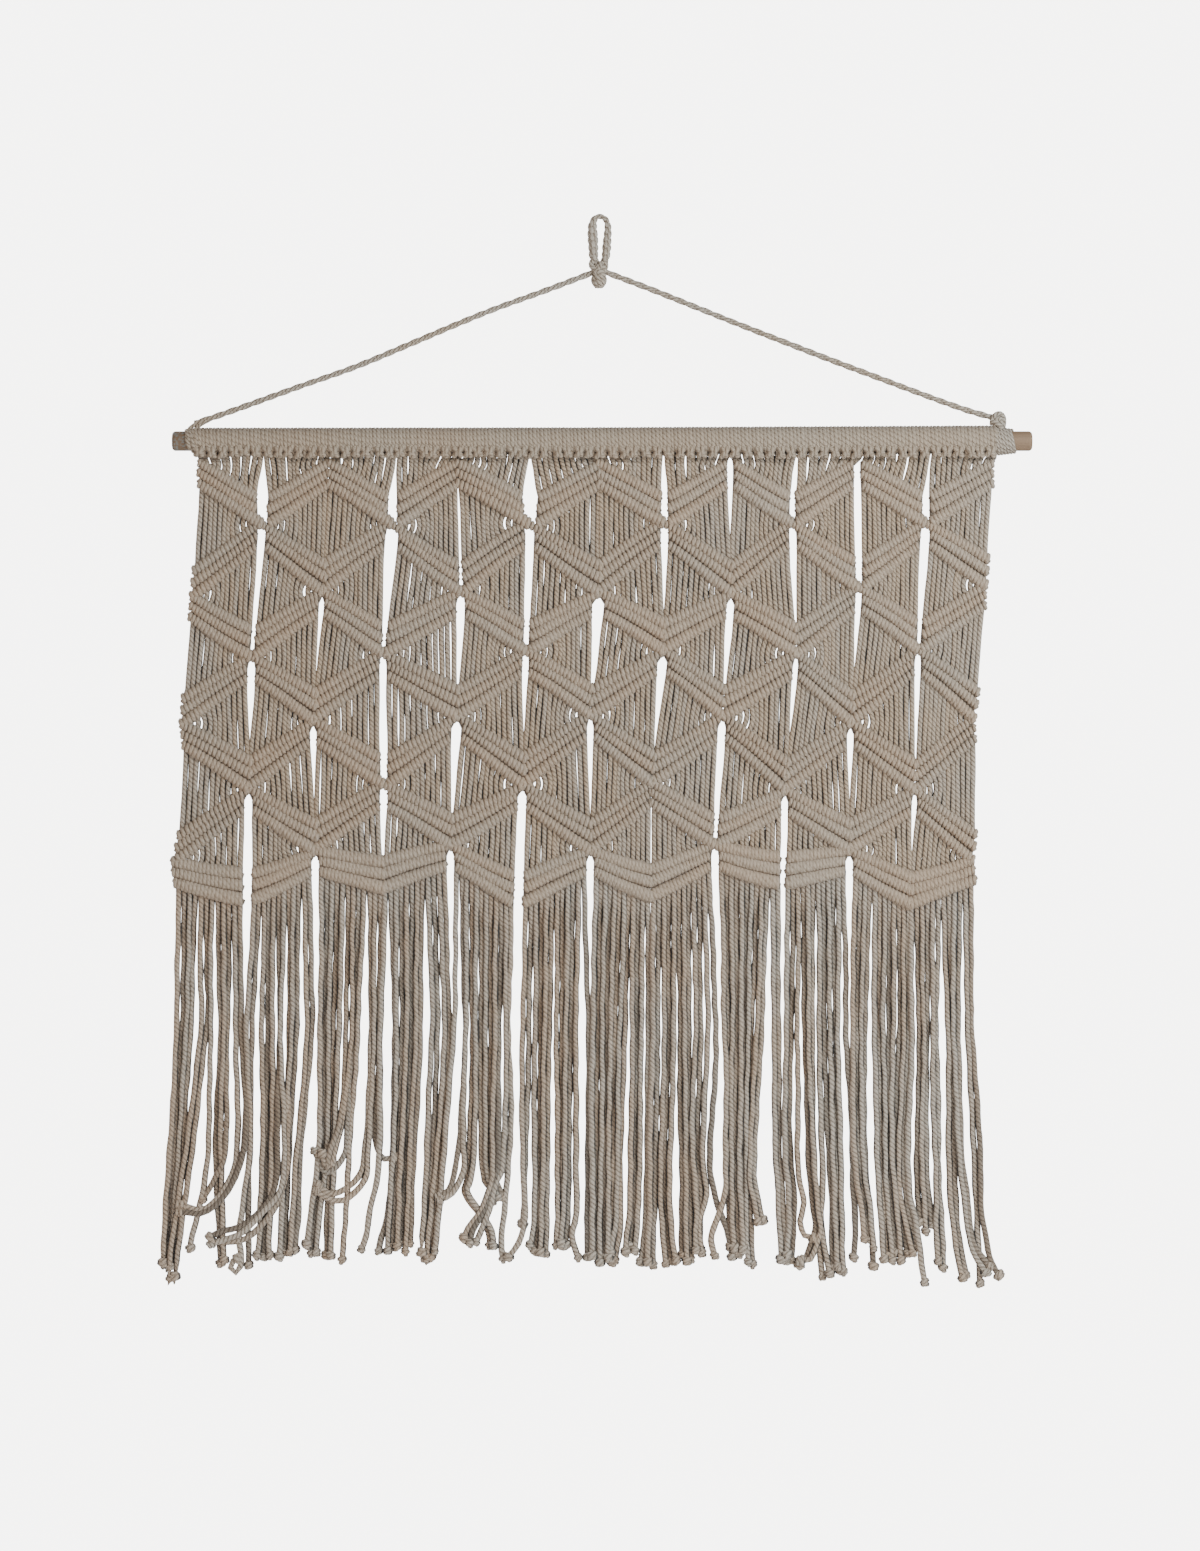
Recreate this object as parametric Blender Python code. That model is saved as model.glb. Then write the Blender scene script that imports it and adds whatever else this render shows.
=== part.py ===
"""Macrame wall hanging on a wooden rod: its solids at real size, in metres, +Z up.

The origin is the inside of the hanging loop's crown, where a wall hook carries it. +X runs to the right as
seen from the room, and +Y runs back to the wall. Lengths in the tables are in millimetres.
"""

import math
import random
from typing import NamedTuple

import bmesh
import bpy
from mathutils import Vector

MM = 0.001

# Rod
ROD_RADIUS = 9.0
ROD_LEFT = -398.0
ROD_RIGHT = 402.0
ROD_Z = -206.5
ROD_EDGE = 1.2
ROD_SIDES = 24

# Cord wound round the rod: the sleeves' sides, and the bore that clears the rod
WRAP_SIDES = 12
WRAP_INNER = (ROD_RADIUS + 0.3) / math.cos(math.pi / WRAP_SIDES)

# Knotted panel: half thicknesses are measured from the middle plane
COLUMNS = 12
ROWS = 7
PANEL_TOP = -221.6
RIDGE_HALF = 4.2
GROOVE_HALF = 2.4
CORD_FRONT = 2.2
CORD_BACK = 1.1
SEAM_FRONT = 0.6
TIP_FRONT = 1.4
APEX_INSET = 7.0
# Heights of a bar's seven lines above its upper node, and above its lower node: edge, crest, groove, crest,
# groove, crest, edge
BAR_START = (5.3, 0.0, -4.9, -9.3, -14.3, -19.1, -24.3)
BAR_END = (29.6, 24.2, 18.7, 13.0, 7.0, 0.0, -5.3)
LOCKS = 6
SLOT_SEAMS = (2, 4)
SLOT = 1.4

# Fringe
STRANDS_PER_COLUMN = 12
STRAND_WIDTH = 3.7
STRAND_FRONT = -1.9
STRAND_BACK = 0.95
LAYER = 1.9
PARTING = 0.5
MIDDLE_Z = -760.0
HEM_Z = -951.0
HEM_STEPS = (0.0, 19.0, 9.5, 28.5)
HEM_DROP = 13.0
MIDDLE_PITCH = 4.2
HEM_PITCH = 2.9
KNOT_SCALE = 1.65
KNOT_HALF = 4.5
SEED = 7

# Hanging rope, its loop and the knots
ROPE_WIDTH = 6.0
ROPE_THICKNESS = 3.6
ROPE_TURN = 23.0
ROPE_STEPS_PER_TURN = 6
END_KNOT_AT = (372.6, -187.0)
END_KNOT_RADIUS = 6.2
LOOP_STEP = 4.0
LOOP_SECTION_SIDES = 8
LOOP_KNOT_SIDES = 12
LOOP_KNOT_X = -0.6


class Level(NamedTuple):
    """A level of nodes, where the bars of two columns meet, with the panel's outer edges there."""

    node_x: tuple
    node_z: tuple
    left: float
    right: float


# Even levels have their nodes on boundaries 0, 2 ... 12, and odd levels on boundaries 1, 3 ... 11.
LEVELS = (
    Level((-372, -252, -133, 0, 121, 239, 365), (-227, -227, -227, -227, -227, -227, -227), -372, 365),
    Level((-314, -193, -65, 60, 179, 303), (-284, -284, -284, -283, -283, -283), -373, 363),
    Level((-379, -258, -129, -1, 122, 241, 358), (-351, -346, -347, -347, -348, -343, -340), -379, 358),
    Level((-324, -202, -69, 59, 183, 296), (-407, -404, -402, -401, -404, -401), -383, 357),
    Level((-389, -267, -133, -9, 114, 233, 347), (-470, -466, -462, -461, -462, -468, -464), -389, 347),
    Level((-327, -201, -72, 48, 172, 293), (-529, -526, -526, -524, -531, -531), -384, 353),
    Level((-396, -265, -139, -9, 107, 232, 346), (-598, -587, -582, -587, -582, -587, -596), -396, 346),
    Level((-328, -202, -76, 47, 170, 288), (-633, -622, -636, -629, -618, -637), -393, 349),
)


class Slit(NamedTuple):
    """Widths of the open slit between two columns, near its upper end, halfway and near its lower end."""

    upper: float
    middle: float
    lower: float


# The slits on each inner boundary, from the heading down
SLITS = {
    1: (Slit(3, 12, 9), Slit(7, 5, 4), Slit(7, 3, 1), Slit(7, 9, 8)),
    2: (Slit(3, 1, 1), Slit(5, 1, 1), Slit(6, 3, 1)),
    3: (Slit(3, 8, 9), Slit(12, 8, 4), Slit(6, 9, 6), Slit(7, 4, 2)),
    4: (Slit(3, 1, 4), Slit(8, 7, 2), Slit(9, 6, 2)),
    5: (Slit(7, 16, 11), Slit(8, 5, 5), Slit(6, 2, 1), Slit(8, 7, 9)),
    6: (Slit(1, 2, 1), Slit(11, 5, 3), Slit(6, 3, 2)),
    7: (Slit(3, 5, 7), Slit(7, 3, 1), Slit(9, 2, 2), Slit(3, 2, 3)),
    8: (Slit(6, 2, 1), Slit(7, 4, 3), Slit(7, 6, 4)),
    9: (Slit(2, 5, 6), Slit(7, 4, 3), Slit(5, 1, 1), Slit(6, 7, 5)),
    10: (Slit(6, 11, 6), Slit(6, 4, 1), Slit(6, 3, 1)),
    11: (Slit(4, 6, 7), Slit(9, 7, 4), Slit(6, 2, 3), Slit(5, 1, 1)),
}
SLIT_SHARES = (0.15, 0.5, 0.85)
HEM_SLIT = 7.0


class Bunch(NamedTuple):
    """Fringe strands that hang together: how many, and the bunch's x halfway down and at the hem."""

    strands: int
    middle: float
    hem: float


BUNCHES = (
    Bunch(7, -381, -398),
    Bunch(1, -362, -379),
    Bunch(4, -350, -354),
    Bunch(4, -330, -329),
    Bunch(9, -299, -301),
    Bunch(3, -270, -267),
    Bunch(4, -251, -251),
    Bunch(3, -229, -238),
    Bunch(5, -205, -221),
    Bunch(6, -179, -193),
    Bunch(3, -153, -166),
    Bunch(3, -139, -154),
    Bunch(2, -126, -126),
    Bunch(9, -99, -99),
    Bunch(5, -60, -65),
    Bunch(6, -30, -33),
    Bunch(9, 6, 2),
    Bunch(7, 45, 38),
    Bunch(7, 82, 73),
    Bunch(2, 108, 102),
    Bunch(9, 135, 133),
    Bunch(5, 175, 178),
    Bunch(3, 194, 197),
    Bunch(2, 207, 209),
    Bunch(2, 219, 220),
    Bunch(6, 238, 245),
    Bunch(4, 264, 269),
    Bunch(8, 296, 298),
    Bunch(2, 321, 322),
    Bunch(1, 330, 331),
    Bunch(3, 343, 346),
)

# The rope's route in the x, z plane, from the loop knot outwards
ROPE_LEFT = (
    (-8.7, -50.6), (-52, -67.0), (-95.8, -82.8), (-135, -98.6), (-174.3, -115.3), (-226.9, -137.2),
    (-279, -155.6), (-331, -174.4), (-356, -183.2), (-377, -190.2),
)
ROPE_RIGHT = (
    (7.5, -50.2), (48, -65.6), (87.4, -81.3), (129, -97.9), (170.2, -113.9), (215, -131.2),
    (259.5, -147.9), (303, -164.2), (340, -177.4), (366.4, -185.0),
)


class LoopPoint(NamedTuple):
    """A point of the hanging loop's centre line and the cord's radius there."""

    x: float
    z: float
    radius: float


# From the crown down the right leg to the bottom; the left leg mirrors it
LOOP_SIDE = (
    LoopPoint(0.0, 2.2, 2.2),
    LoopPoint(4.0, 0.8, 2.5),
    LoopPoint(6.3, -3.4, 3.1),
    LoopPoint(7.0, -10.0, 3.5),
    LoopPoint(7.0, -18.0, 3.6),
    LoopPoint(6.8, -26.0, 3.5),
    LoopPoint(6.0, -33.0, 3.2),
    LoopPoint(3.6, -38.4, 2.7),
    LoopPoint(0.0, -40.4, 2.4),
)


class Winding(NamedTuple):
    """Cord wound round the rod, from left to right: its ridges, their radius and the depth between them.

    The bead stretches the lower half downwards.
    """

    left: float
    right: float
    ridges: int
    radius: float
    groove: float
    bead: float


HEADING = Winding(-374.8, 369.2, 36, 12.9, 1.2, 1.15)
TURNS_LEFT = Winding(-385.5, -375.2, 3, 12.9, 1.4, 1.0)
TURNS_RIGHT = Winding(369.6, 386.8, 4, 12.9, 1.4, 1.0)


class TurnedPoint(NamedTuple):
    """A point of a turned profile: its height and radius."""

    z: float
    radius: float


LOOP_KNOT = (
    TurnedPoint(-43.2, 3.4),
    TurnedPoint(-44.4, 6.6),
    TurnedPoint(-46.4, 8.0),
    TurnedPoint(-48.6, 7.2),
    TurnedPoint(-50.6, 4.8),
    TurnedPoint(-52.8, 6.6),
    TurnedPoint(-56.5, 7.3),
    TurnedPoint(-61.0, 7.0),
    TurnedPoint(-64.6, 4.6),
    TurnedPoint(-65.8, 1.8),
)


def clear_scene() -> None:
    """Removes whatever the scene holds."""
    for obj in list(bpy.data.objects):
        bpy.data.objects.remove(obj, do_unlink=True)


def make_material(name: str, colour: tuple, roughness: float) -> bpy.types.Material:
    """A Principled material of one colour."""
    material = bpy.data.materials.new(name)
    material.use_nodes = True
    shader = material.node_tree.nodes["Principled BSDF"]
    shader.inputs["Base Color"].default_value = (*colour, 1.0)
    shader.inputs["Roughness"].default_value = roughness
    shader.inputs["Metallic"].default_value = 0.0
    material.diffuse_color = (*colour, 1.0)
    return material


def add_object(name: str, bm: bmesh.types.BMesh, material: bpy.types.Material) -> bpy.types.Object:
    """Puts a finished bmesh, in millimetres, into the scene in metres."""
    bmesh.ops.recalc_face_normals(bm, faces=bm.faces)
    bmesh.ops.scale(bm, vec=(MM, MM, MM), verts=bm.verts)
    mesh = bpy.data.meshes.new(name)
    bm.to_mesh(mesh)
    bm.free()
    mesh.materials.append(material)
    mesh.shade_smooth()
    mesh.set_sharp_from_angle(angle=math.radians(50))
    obj = bpy.data.objects.new(name, mesh)
    bpy.context.scene.collection.objects.link(obj)
    return obj


def between(a: float, b: float, share: float) -> float:
    """The value this share of the way from a to b."""
    return a + (b - a) * share


def along(a: tuple, b: tuple, share: float) -> tuple:
    """The point this share of the way from a to b."""
    return tuple(between(p, q, share) for p, q in zip(a, b))


def interpolate(rows: list, at: float) -> float:
    """Reads a value from (place, value) rows in rising order of place, held level past both ends."""
    if at <= rows[0][0]:
        return rows[0][1]
    for (place, value), (next_place, next_value) in zip(rows, rows[1:]):
        if at <= next_place:
            return between(value, next_value, (at - place) / (next_place - place))
    return rows[-1][1]


# ---- the panel's layout ----


def node(boundary: int, level: int) -> tuple:
    """The (x, z) of the node on a boundary at a level of the same parity."""
    row = LEVELS[level]
    return row.node_x[boundary // 2], row.node_z[boundary // 2]


def boundary_x(boundary: int, z: float) -> float:
    """Where a boundary between two columns, or an outer edge, runs at a height."""
    if boundary in (0, COLUMNS):
        rows = [(-row.node_z[-(boundary > 0)], row.left if boundary == 0 else row.right) for row in LEVELS]
        return interpolate(rows, -z)
    nodes = [node(boundary, level) for level in range(boundary % 2, len(LEVELS), 2)]
    return interpolate([(-node_z, node_x) for node_x, node_z in nodes], -z)


def slit_width(boundary: int, z: float) -> float:
    """The gap between the two columns on an inner boundary at a height."""
    if boundary in (0, COLUMNS):
        return 0.0
    levels = [level for level in range(boundary % 2, len(LEVELS), 2) if level > 0]
    upper = PANEL_TOP
    for slit, level in zip(SLITS[boundary], levels):
        lower = node(boundary, level)[1]
        if z >= lower:
            return interpolate(list(zip(SLIT_SHARES, slit)), (upper - z) / (upper - lower))
        upper = lower
    return HEM_SLIT


def side_x(column: int, boundary: int, z: float) -> float:
    """The x of a column's side, along one of its two boundaries."""
    half = slit_width(boundary, z) / 2
    return boundary_x(boundary, z) + (half if boundary == column else -half)


class Bar(NamedTuple):
    """A bar that falls across a column, from the boundary of its upper node to that of its lower one."""

    column: int
    upper: int
    lower: int
    start_z: tuple
    end_z: tuple

    def start(self, line: int) -> tuple:
        """The (x, z) where a line of the bar begins, at its upper node."""
        return side_x(self.column, self.upper, self.start_z[line]), self.start_z[line]

    def end(self, line: int) -> tuple:
        """The (x, z) where a line of the bar ends, at its lower node."""
        return side_x(self.column, self.lower, self.end_z[line]), self.end_z[line]


def bar_of(column: int, row: int) -> Bar:
    """The bar that crosses a column in a row."""
    upper, lower = (column, column + 1) if (column + row) % 2 == 0 else (column + 1, column)
    start_z = tuple(node(upper, row)[1] + dz for dz in BAR_START)
    end_z = tuple(node(lower, row + 1)[1] + dz for dz in BAR_END)
    return Bar(column, upper, lower, start_z, end_z)


# ---- sheets sewn into a closed body ----


class Point(NamedTuple):
    """A place of the layout on the front sheet and on the back sheet: one vertex for both on a rim."""

    front: bmesh.types.BMVert
    back: bmesh.types.BMVert


class Line(NamedTuple):
    """A row of vertices on the front sheet and one on the back sheet."""

    front: list
    back: list

    def left_to_right(self) -> "Line":
        """The same line, run towards +X."""
        if self.front[0].co.x < self.front[-1].co.x:
            return self
        return Line(self.front[::-1], self.back[::-1])


class Skin:
    """A front and a back sheet over one flat layout, sewn together along their rims."""

    def __init__(self) -> None:
        self.bm = bmesh.new()

    def vertex(self, x: float, y: float, z: float) -> bmesh.types.BMVert:
        """A new vertex."""
        return self.bm.verts.new((x, y, z))

    def rim(self, place: tuple, y: float = 0.0) -> Point:
        """A point where front and back meet."""
        vertex = self.vertex(place[0], y, place[1])
        return Point(vertex, vertex)

    def pair(self, place: tuple, front: float, back: float) -> Point:
        """A point this far in front of the middle plane, and this far behind it."""
        return Point(self.vertex(place[0], -front, place[1]), self.vertex(place[0], back, place[1]))

    def face(self, corners: list) -> None:
        """Triangles that fan out over some corners, without those that repeat."""
        kept = [c for c, after in zip(corners, corners[1:] + corners[:1]) if c is not after]
        for b, c in zip(kept[1:], kept[2:]):
            self.bm.faces.new((kept[0], b, c))

    def fill(self, upper: list, lower: list) -> None:
        """Triangles between two rows of vertices that both run towards +X."""
        i = j = 0
        while i < len(upper) - 1 or j < len(lower) - 1:
            upper_done = i == len(upper) - 1
            lower_done = j == len(lower) - 1
            if upper_done or (not lower_done and lower[j + 1].co.x <= upper[i + 1].co.x):
                self.face([upper[i], lower[j], lower[j + 1]])
                j += 1
            else:
                self.face([upper[i], lower[j], upper[i + 1]])
                i += 1

    def strip(self, upper: Line, lower: Line) -> None:
        """Fills front and back between two lines."""
        upper, lower = upper.left_to_right(), lower.left_to_right()
        self.fill(upper.front, lower.front)
        self.fill(upper.back, lower.back)

    def front_only(self, place: tuple, front: float) -> Point:
        """A point that only the front sheet has."""
        return Point(self.vertex(place[0], -front, place[1]), None)

    def patch(self, corners: list) -> None:
        """Fills front and back inside points that go round."""
        self.face([corner.front for corner in corners])
        self.face([corner.back for corner in corners])

    def wall(self, row: list) -> None:
        """Closes front to back along a row of points."""
        for a, b in zip(row, row[1:]):
            self.face([a.front, b.front, b.back, a.back])


def line_of(points: list) -> Line:
    """The line through some points."""
    return Line([p.front for p in points], [p.back for p in points])


# ---- the panel ----


class Panel:
    """The knotted panel: straight cords fused at ridged bars, in twelve columns that join at the nodes."""

    def __init__(self) -> None:
        self.skin = Skin()
        self.crests = {}
        self.above = {}
        self.below = {}

    def node_crest(self, column: int, boundary: int, level: int) -> Point:
        """A column's crest point at a node, where one bar ends and the next begins."""
        key = (column, boundary, level)
        if key not in self.crests:
            z = node(boundary, level)[1]
            place = (side_x(column, boundary, z), z)
            self.crests[key] = self.skin.pair(place, RIDGE_HALF, RIDGE_HALF)
        return self.crests[key]

    def side_point(self, place: tuple, line: int) -> Point:
        """The end of one of a bar's inner lines on the column's side: thick on a crest, a rim in a groove."""
        if line % 2 == 0:
            return self.skin.rim(place)
        return self.skin.pair(place, RIDGE_HALF, RIDGE_HALF)

    def groups(self, side: Point, tip: Point) -> list:
        """The groups of cord along a line, from the column's long side to a triangle's tip.

        An open slot parts two groups, and the cords of a group touch at shallow seams.
        """
        start, end = ((point.back.co.x, point.back.co.z) for point in (side, tip))
        half_slot = SLOT / 2 / math.dist(start, end)
        found = []
        group = [side]
        for seam in range(1, LOCKS + 1):
            group.append(self.skin.front_only(along(start, end, (seam - 0.5) / LOCKS), CORD_FRONT))
            if seam in SLOT_SEAMS:
                group.append(self.skin.rim(along(start, end, seam / LOCKS - half_slot), CORD_BACK))
                found.append(group)
                group = [self.skin.rim(along(start, end, seam / LOCKS + half_slot), CORD_BACK)]
            elif seam < LOCKS:
                group.append(self.skin.front_only(along(start, end, seam / LOCKS), SEAM_FRONT))
        return [*found, [*group, tip]]

    def outer_line(self, groups: list) -> Line:
        """The edge line of a bar, along which groups of cord join it."""
        front = [point.front for group in groups for point in group]
        back = [point.back for group in groups for point in (group[0], group[-1])]
        return Line(front, back)

    def hang_cords(self, above: list, below: list) -> None:
        """Fills the cords between the line above them and the line below."""
        for upper, lower in zip(above, below):
            for a, b, c, d in zip(upper, upper[1:], lower[1:], lower):
                self.skin.face([a.front, b.front, c.front, d.front])
            self.skin.face([upper[0].back, upper[-1].back, lower[-1].back, lower[0].back])

    def tip(self, column: int, boundary: int, level: int) -> Point:
        """The tip of the triangle at a node, between the bar that ends there and the bar that begins."""
        z = node(boundary, level)[1]
        inset = APEX_INSET if boundary == column else -APEX_INSET
        return self.skin.pair((side_x(column, boundary, z) + inset, z), TIP_FRONT, CORD_BACK)

    def add_bar(self, bar: Bar, row: int, edge: Line, corner: Point) -> list:
        """One bar under its upper edge line, which ends at a corner. Returns the groups of cord under it."""
        last_row = row == ROWS - 1
        inner = range(1, 5 if last_row else 6)
        starts = [self.node_crest(bar.column, bar.upper, row)]
        starts += [self.side_point(bar.start(line), line) for line in inner[1:]]
        ends = [self.side_point(bar.end(line), line) for line in inner if line < 5]
        self.above[(bar.column, bar.lower, row + 1)] = ends[-1]
        self.below[(bar.column, bar.upper, row)] = starts[1]
        self.skin.wall([corner, *ends])
        if not last_row:
            ends.append(self.node_crest(bar.column, bar.lower, row + 1))
        lines = [edge]
        for line, start, end in zip(inner, starts, ends):
            points = [start, end]
            if line % 2 == 0 and not (last_row and line == inner[-1]):
                halfway = along(bar.start(line), bar.end(line), 0.5)
                points.insert(1, self.skin.pair(halfway, GROOVE_HALF, GROOVE_HALF))
            lines.append(line_of(points))
        groups = []
        if not last_row:
            starts.append(self.skin.rim(bar.start(6), CORD_BACK))
            groups = self.groups(starts[-1], self.tip(bar.column, bar.lower, row + 1))
            lines.append(self.outer_line(groups))
        self.skin.wall(starts[1:])
        for upper, lower in zip(lines, lines[1:]):
            self.skin.strip(upper, lower)
        return groups

    def add_column(self, column: int) -> None:
        """One column, from under the heading to the last bar."""
        first = bar_of(column, 0)
        tip = self.skin.rim((side_x(column, first.upper, PANEL_TOP), PANEL_TOP), CORD_BACK)
        corner = self.skin.rim((side_x(column, first.lower, PANEL_TOP), PANEL_TOP), CORD_BACK)
        above = self.groups(corner, tip)
        for group in above:
            self.skin.bm.faces.new([point.front for point in group])
        self.skin.wall([tip, self.node_crest(column, first.upper, 0)])
        for row in range(ROWS):
            bar = bar_of(column, row)
            corner = self.skin.rim(bar.end(0), CORD_BACK)
            below = self.groups(corner, above[-1][-1])
            self.hang_cords(above, below)
            above = self.add_bar(bar, row, self.outer_line(below), corner)

    def join_at_nodes(self) -> None:
        """Bridges two columns at each node between them, and closes the ends of bars on the outer sides."""
        for (column, boundary, level), crest in self.crests.items():
            here = (self.above.get((column, boundary, level)), crest, self.below[(column, boundary, level)])
            if level == 0:
                self.skin.wall(here[1:])
            elif boundary in (0, COLUMNS):
                self.skin.wall(here)
            elif boundary == column + 1:
                key = (column + 1, boundary, level)
                there = (self.above[key], self.crests[key], self.below[key])
                self.skin.patch([here[0], there[0], there[1], here[1]])
                self.skin.patch([here[1], there[1], there[2], here[2]])

    def build(self, material: bpy.types.Material) -> None:
        """The whole panel as one body."""
        for column in range(COLUMNS):
            self.add_column(column)
        self.join_at_nodes()
        add_object("panel", self.skin.bm, material)


# ---- the fringe ----


class Strand(NamedTuple):
    """A fringe strand's course: its x and z halfway and at the end knot, and how far it lies behind."""

    middle: tuple
    knot: tuple
    layer: float


def strands() -> list:
    """All the strands, from left to right."""
    dice = random.Random(SEED)
    found = []
    for bunch in BUNCHES:
        drop = dice.uniform(0, HEM_DROP)
        for i in range(bunch.strands):
            off_centre = i - (bunch.strands - 1) / 2
            step = HEM_STEPS[len(found) % len(HEM_STEPS)]
            middle = (bunch.middle + off_centre * MIDDLE_PITCH, MIDDLE_Z)
            knot = (bunch.hem + off_centre * HEM_PITCH, HEM_Z - step - drop)
            found.append(Strand(middle, knot, LAYER if len(found) % 2 else -LAYER))
    return found


def strand_ring(skin: Skin, place: tuple, layer: float, scale: float) -> list:
    """The three corners of a strand at a height: left, front and right."""
    x, z = place
    half = STRAND_WIDTH / 2 * scale
    back = layer + STRAND_BACK * scale
    front = layer + STRAND_FRONT * scale
    return [skin.vertex(x - half, back, z), skin.vertex(x, front, z), skin.vertex(x + half, back, z)]


def hang_strand(skin: Skin, root: list, strand: Strand) -> None:
    """Runs a strand down from its root to the tip of its end knot."""
    knot_x, knot_z = strand.knot
    share = (strand.middle[1] - knot_z - KNOT_HALF) / (strand.middle[1] - knot_z)
    rings = [
        root,
        strand_ring(skin, strand.middle, strand.layer, 1.0),
        strand_ring(skin, along(strand.middle, strand.knot, share), strand.layer, 1.0),
        strand_ring(skin, strand.knot, strand.layer, KNOT_SCALE),
        [skin.vertex(knot_x, strand.layer, knot_z - KNOT_HALF)] * 3,
    ]
    for upper, lower in zip(rings, rings[1:]):
        for a, b in ((0, 1), (1, 2), (2, 0)):
            skin.face([upper[a], upper[b], lower[b], lower[a]])


def arm_roots(skin: Skin, bar: Bar) -> list:
    """The roots of a column's strands along the lower edge of its bar, from left to right."""
    left, right = sorted((bar.start(6), bar.end(6)))
    half = STRAND_WIDTH / 2 / (right[0] - left[0])
    found = []
    for i in range(STRANDS_PER_COLUMN):
        share = (i + 0.5) / STRANDS_PER_COLUMN
        front_x, front_z = along(left, right, share)
        found.append([
            skin.rim(along(left, right, share - half), STRAND_BACK).front,
            skin.vertex(front_x, STRAND_FRONT, front_z),
            skin.rim(along(left, right, share + half), STRAND_BACK).front,
        ])
    return found


def lowered(place: tuple) -> tuple:
    """A place on the panel's lower rim, moved down by the parting to the fringe."""
    return place[0], place[1] - PARTING


def add_fringe(index: int, hanging: list, material: bpy.types.Material) -> None:
    """The lowest ridge of a V of bars, with the strands of its two columns."""
    skin = Skin()
    left, right = bar_of(2 * index, ROWS - 1), bar_of(2 * index + 1, ROWS - 1)
    upper, middle, lower = (
        (left.start(line), left.end(line), right.end(line), right.start(line)) for line in (4, 5, 6)
    )
    top = [skin.rim(lowered(place)) for place in upper]
    crest = [skin.pair(place, RIDGE_HALF, RIDGE_HALF) for place in middle]
    corners = [skin.rim(place, STRAND_BACK) for place in lower]
    arms = (arm_roots(skin, left), arm_roots(skin, right))
    front, back = [], []
    for roots, first, last in zip(arms, corners[::2], corners[1::2]):
        front += [first.front, *(vertex for root in roots for vertex in root), last.front]
        back += [first.back, *(vertex for root in roots for vertex in (root[0], root[2])), last.back]
    skin.strip(line_of(top), line_of(crest))
    skin.strip(line_of(crest), Line(front, back))
    skin.wall([top[0], crest[0], corners[0]])
    skin.wall([top[-1], crest[-1], corners[-1]])
    for root, strand in zip(arms[0] + arms[1], hanging):
        hang_strand(skin, root, strand)
    add_object(f"fringe_{index + 1}", skin.bm, material)


# ---- the rod and what is wound round it ----


def add_rod(material: bpy.types.Material) -> None:
    """The rod, with its sawn ends eased by a small bevel."""
    bm = bmesh.new()
    length = ROD_RIGHT - ROD_LEFT
    bmesh.ops.create_cone(
        bm, cap_ends=True, segments=ROD_SIDES, radius1=ROD_RADIUS, radius2=ROD_RADIUS, depth=length
    )
    rims = [edge for edge in bm.edges if abs(edge.verts[0].co.z - edge.verts[1].co.z) < length / 2]
    bmesh.ops.bevel(bm, geom=rims, offset=ROD_EDGE, segments=1, affect="EDGES")
    for vertex in bm.verts:
        x, y, z = vertex.co
        vertex.co = (z + (ROD_LEFT + ROD_RIGHT) / 2, y, ROD_Z - x)
    add_object("rod", bm, material)


def add_winding(name: str, winding: Winding, material: bpy.types.Material) -> None:
    """A sleeve round the rod, made by spinning its closed profile about the rod's axis."""
    profile = []
    for i in range(2 * winding.ridges + 1):
        x = between(winding.left, winding.right, i / (2 * winding.ridges))
        profile.append((x, 0, winding.radius - (0 if i % 2 else winding.groove)))
    profile += [(winding.right, 0, WRAP_INNER), (winding.left, 0, WRAP_INNER)]
    bm = bmesh.new()
    vertices = [bm.verts.new(place) for place in profile]
    edges = [bm.edges.new(pair) for pair in zip(vertices, vertices[1:] + vertices[:1])]
    bmesh.ops.spin(
        bm, geom=vertices + edges, cent=(0, 0, 0), axis=(1, 0, 0), angle=math.tau, steps=WRAP_SIDES,
        use_merge=True
    )
    for vertex in bm.verts:
        if vertex.co.z < 0 and math.hypot(vertex.co.y, vertex.co.z) > WRAP_INNER + 0.5:
            vertex.co.z *= winding.bead
        vertex.co.z += ROD_Z
    add_object(name, bm, material)


# ---- the hanging rope, its knots and its loop ----


def smooth_path(points: list, step: float, closed: bool = False) -> list:
    """Points about a step apart on a Catmull-Rom curve through the given ones."""
    count = len(points)
    found = []
    for i in range(count if closed else count - 1):
        if closed:
            a, b, c, d = (Vector(points[(i + k) % count]) for k in (-1, 0, 1, 2))
        else:
            b, c = Vector(points[i]), Vector(points[i + 1])
            a = Vector(points[i - 1]) if i > 0 else 2 * b - c
            d = Vector(points[i + 2]) if i + 2 < count else 2 * c - b
        parts = max(1, round((c - b).length / step))
        bend, swing = 2 * a - 5 * b + 4 * c - d, 3 * b - a - 3 * c + d
        for k in range(parts):
            t = k / parts
            found.append(b + 0.5 * ((c - a) * t + bend * t**2 + swing * t**3))
    if not closed:
        found.append(Vector(points[-1]))
    return found


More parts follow.
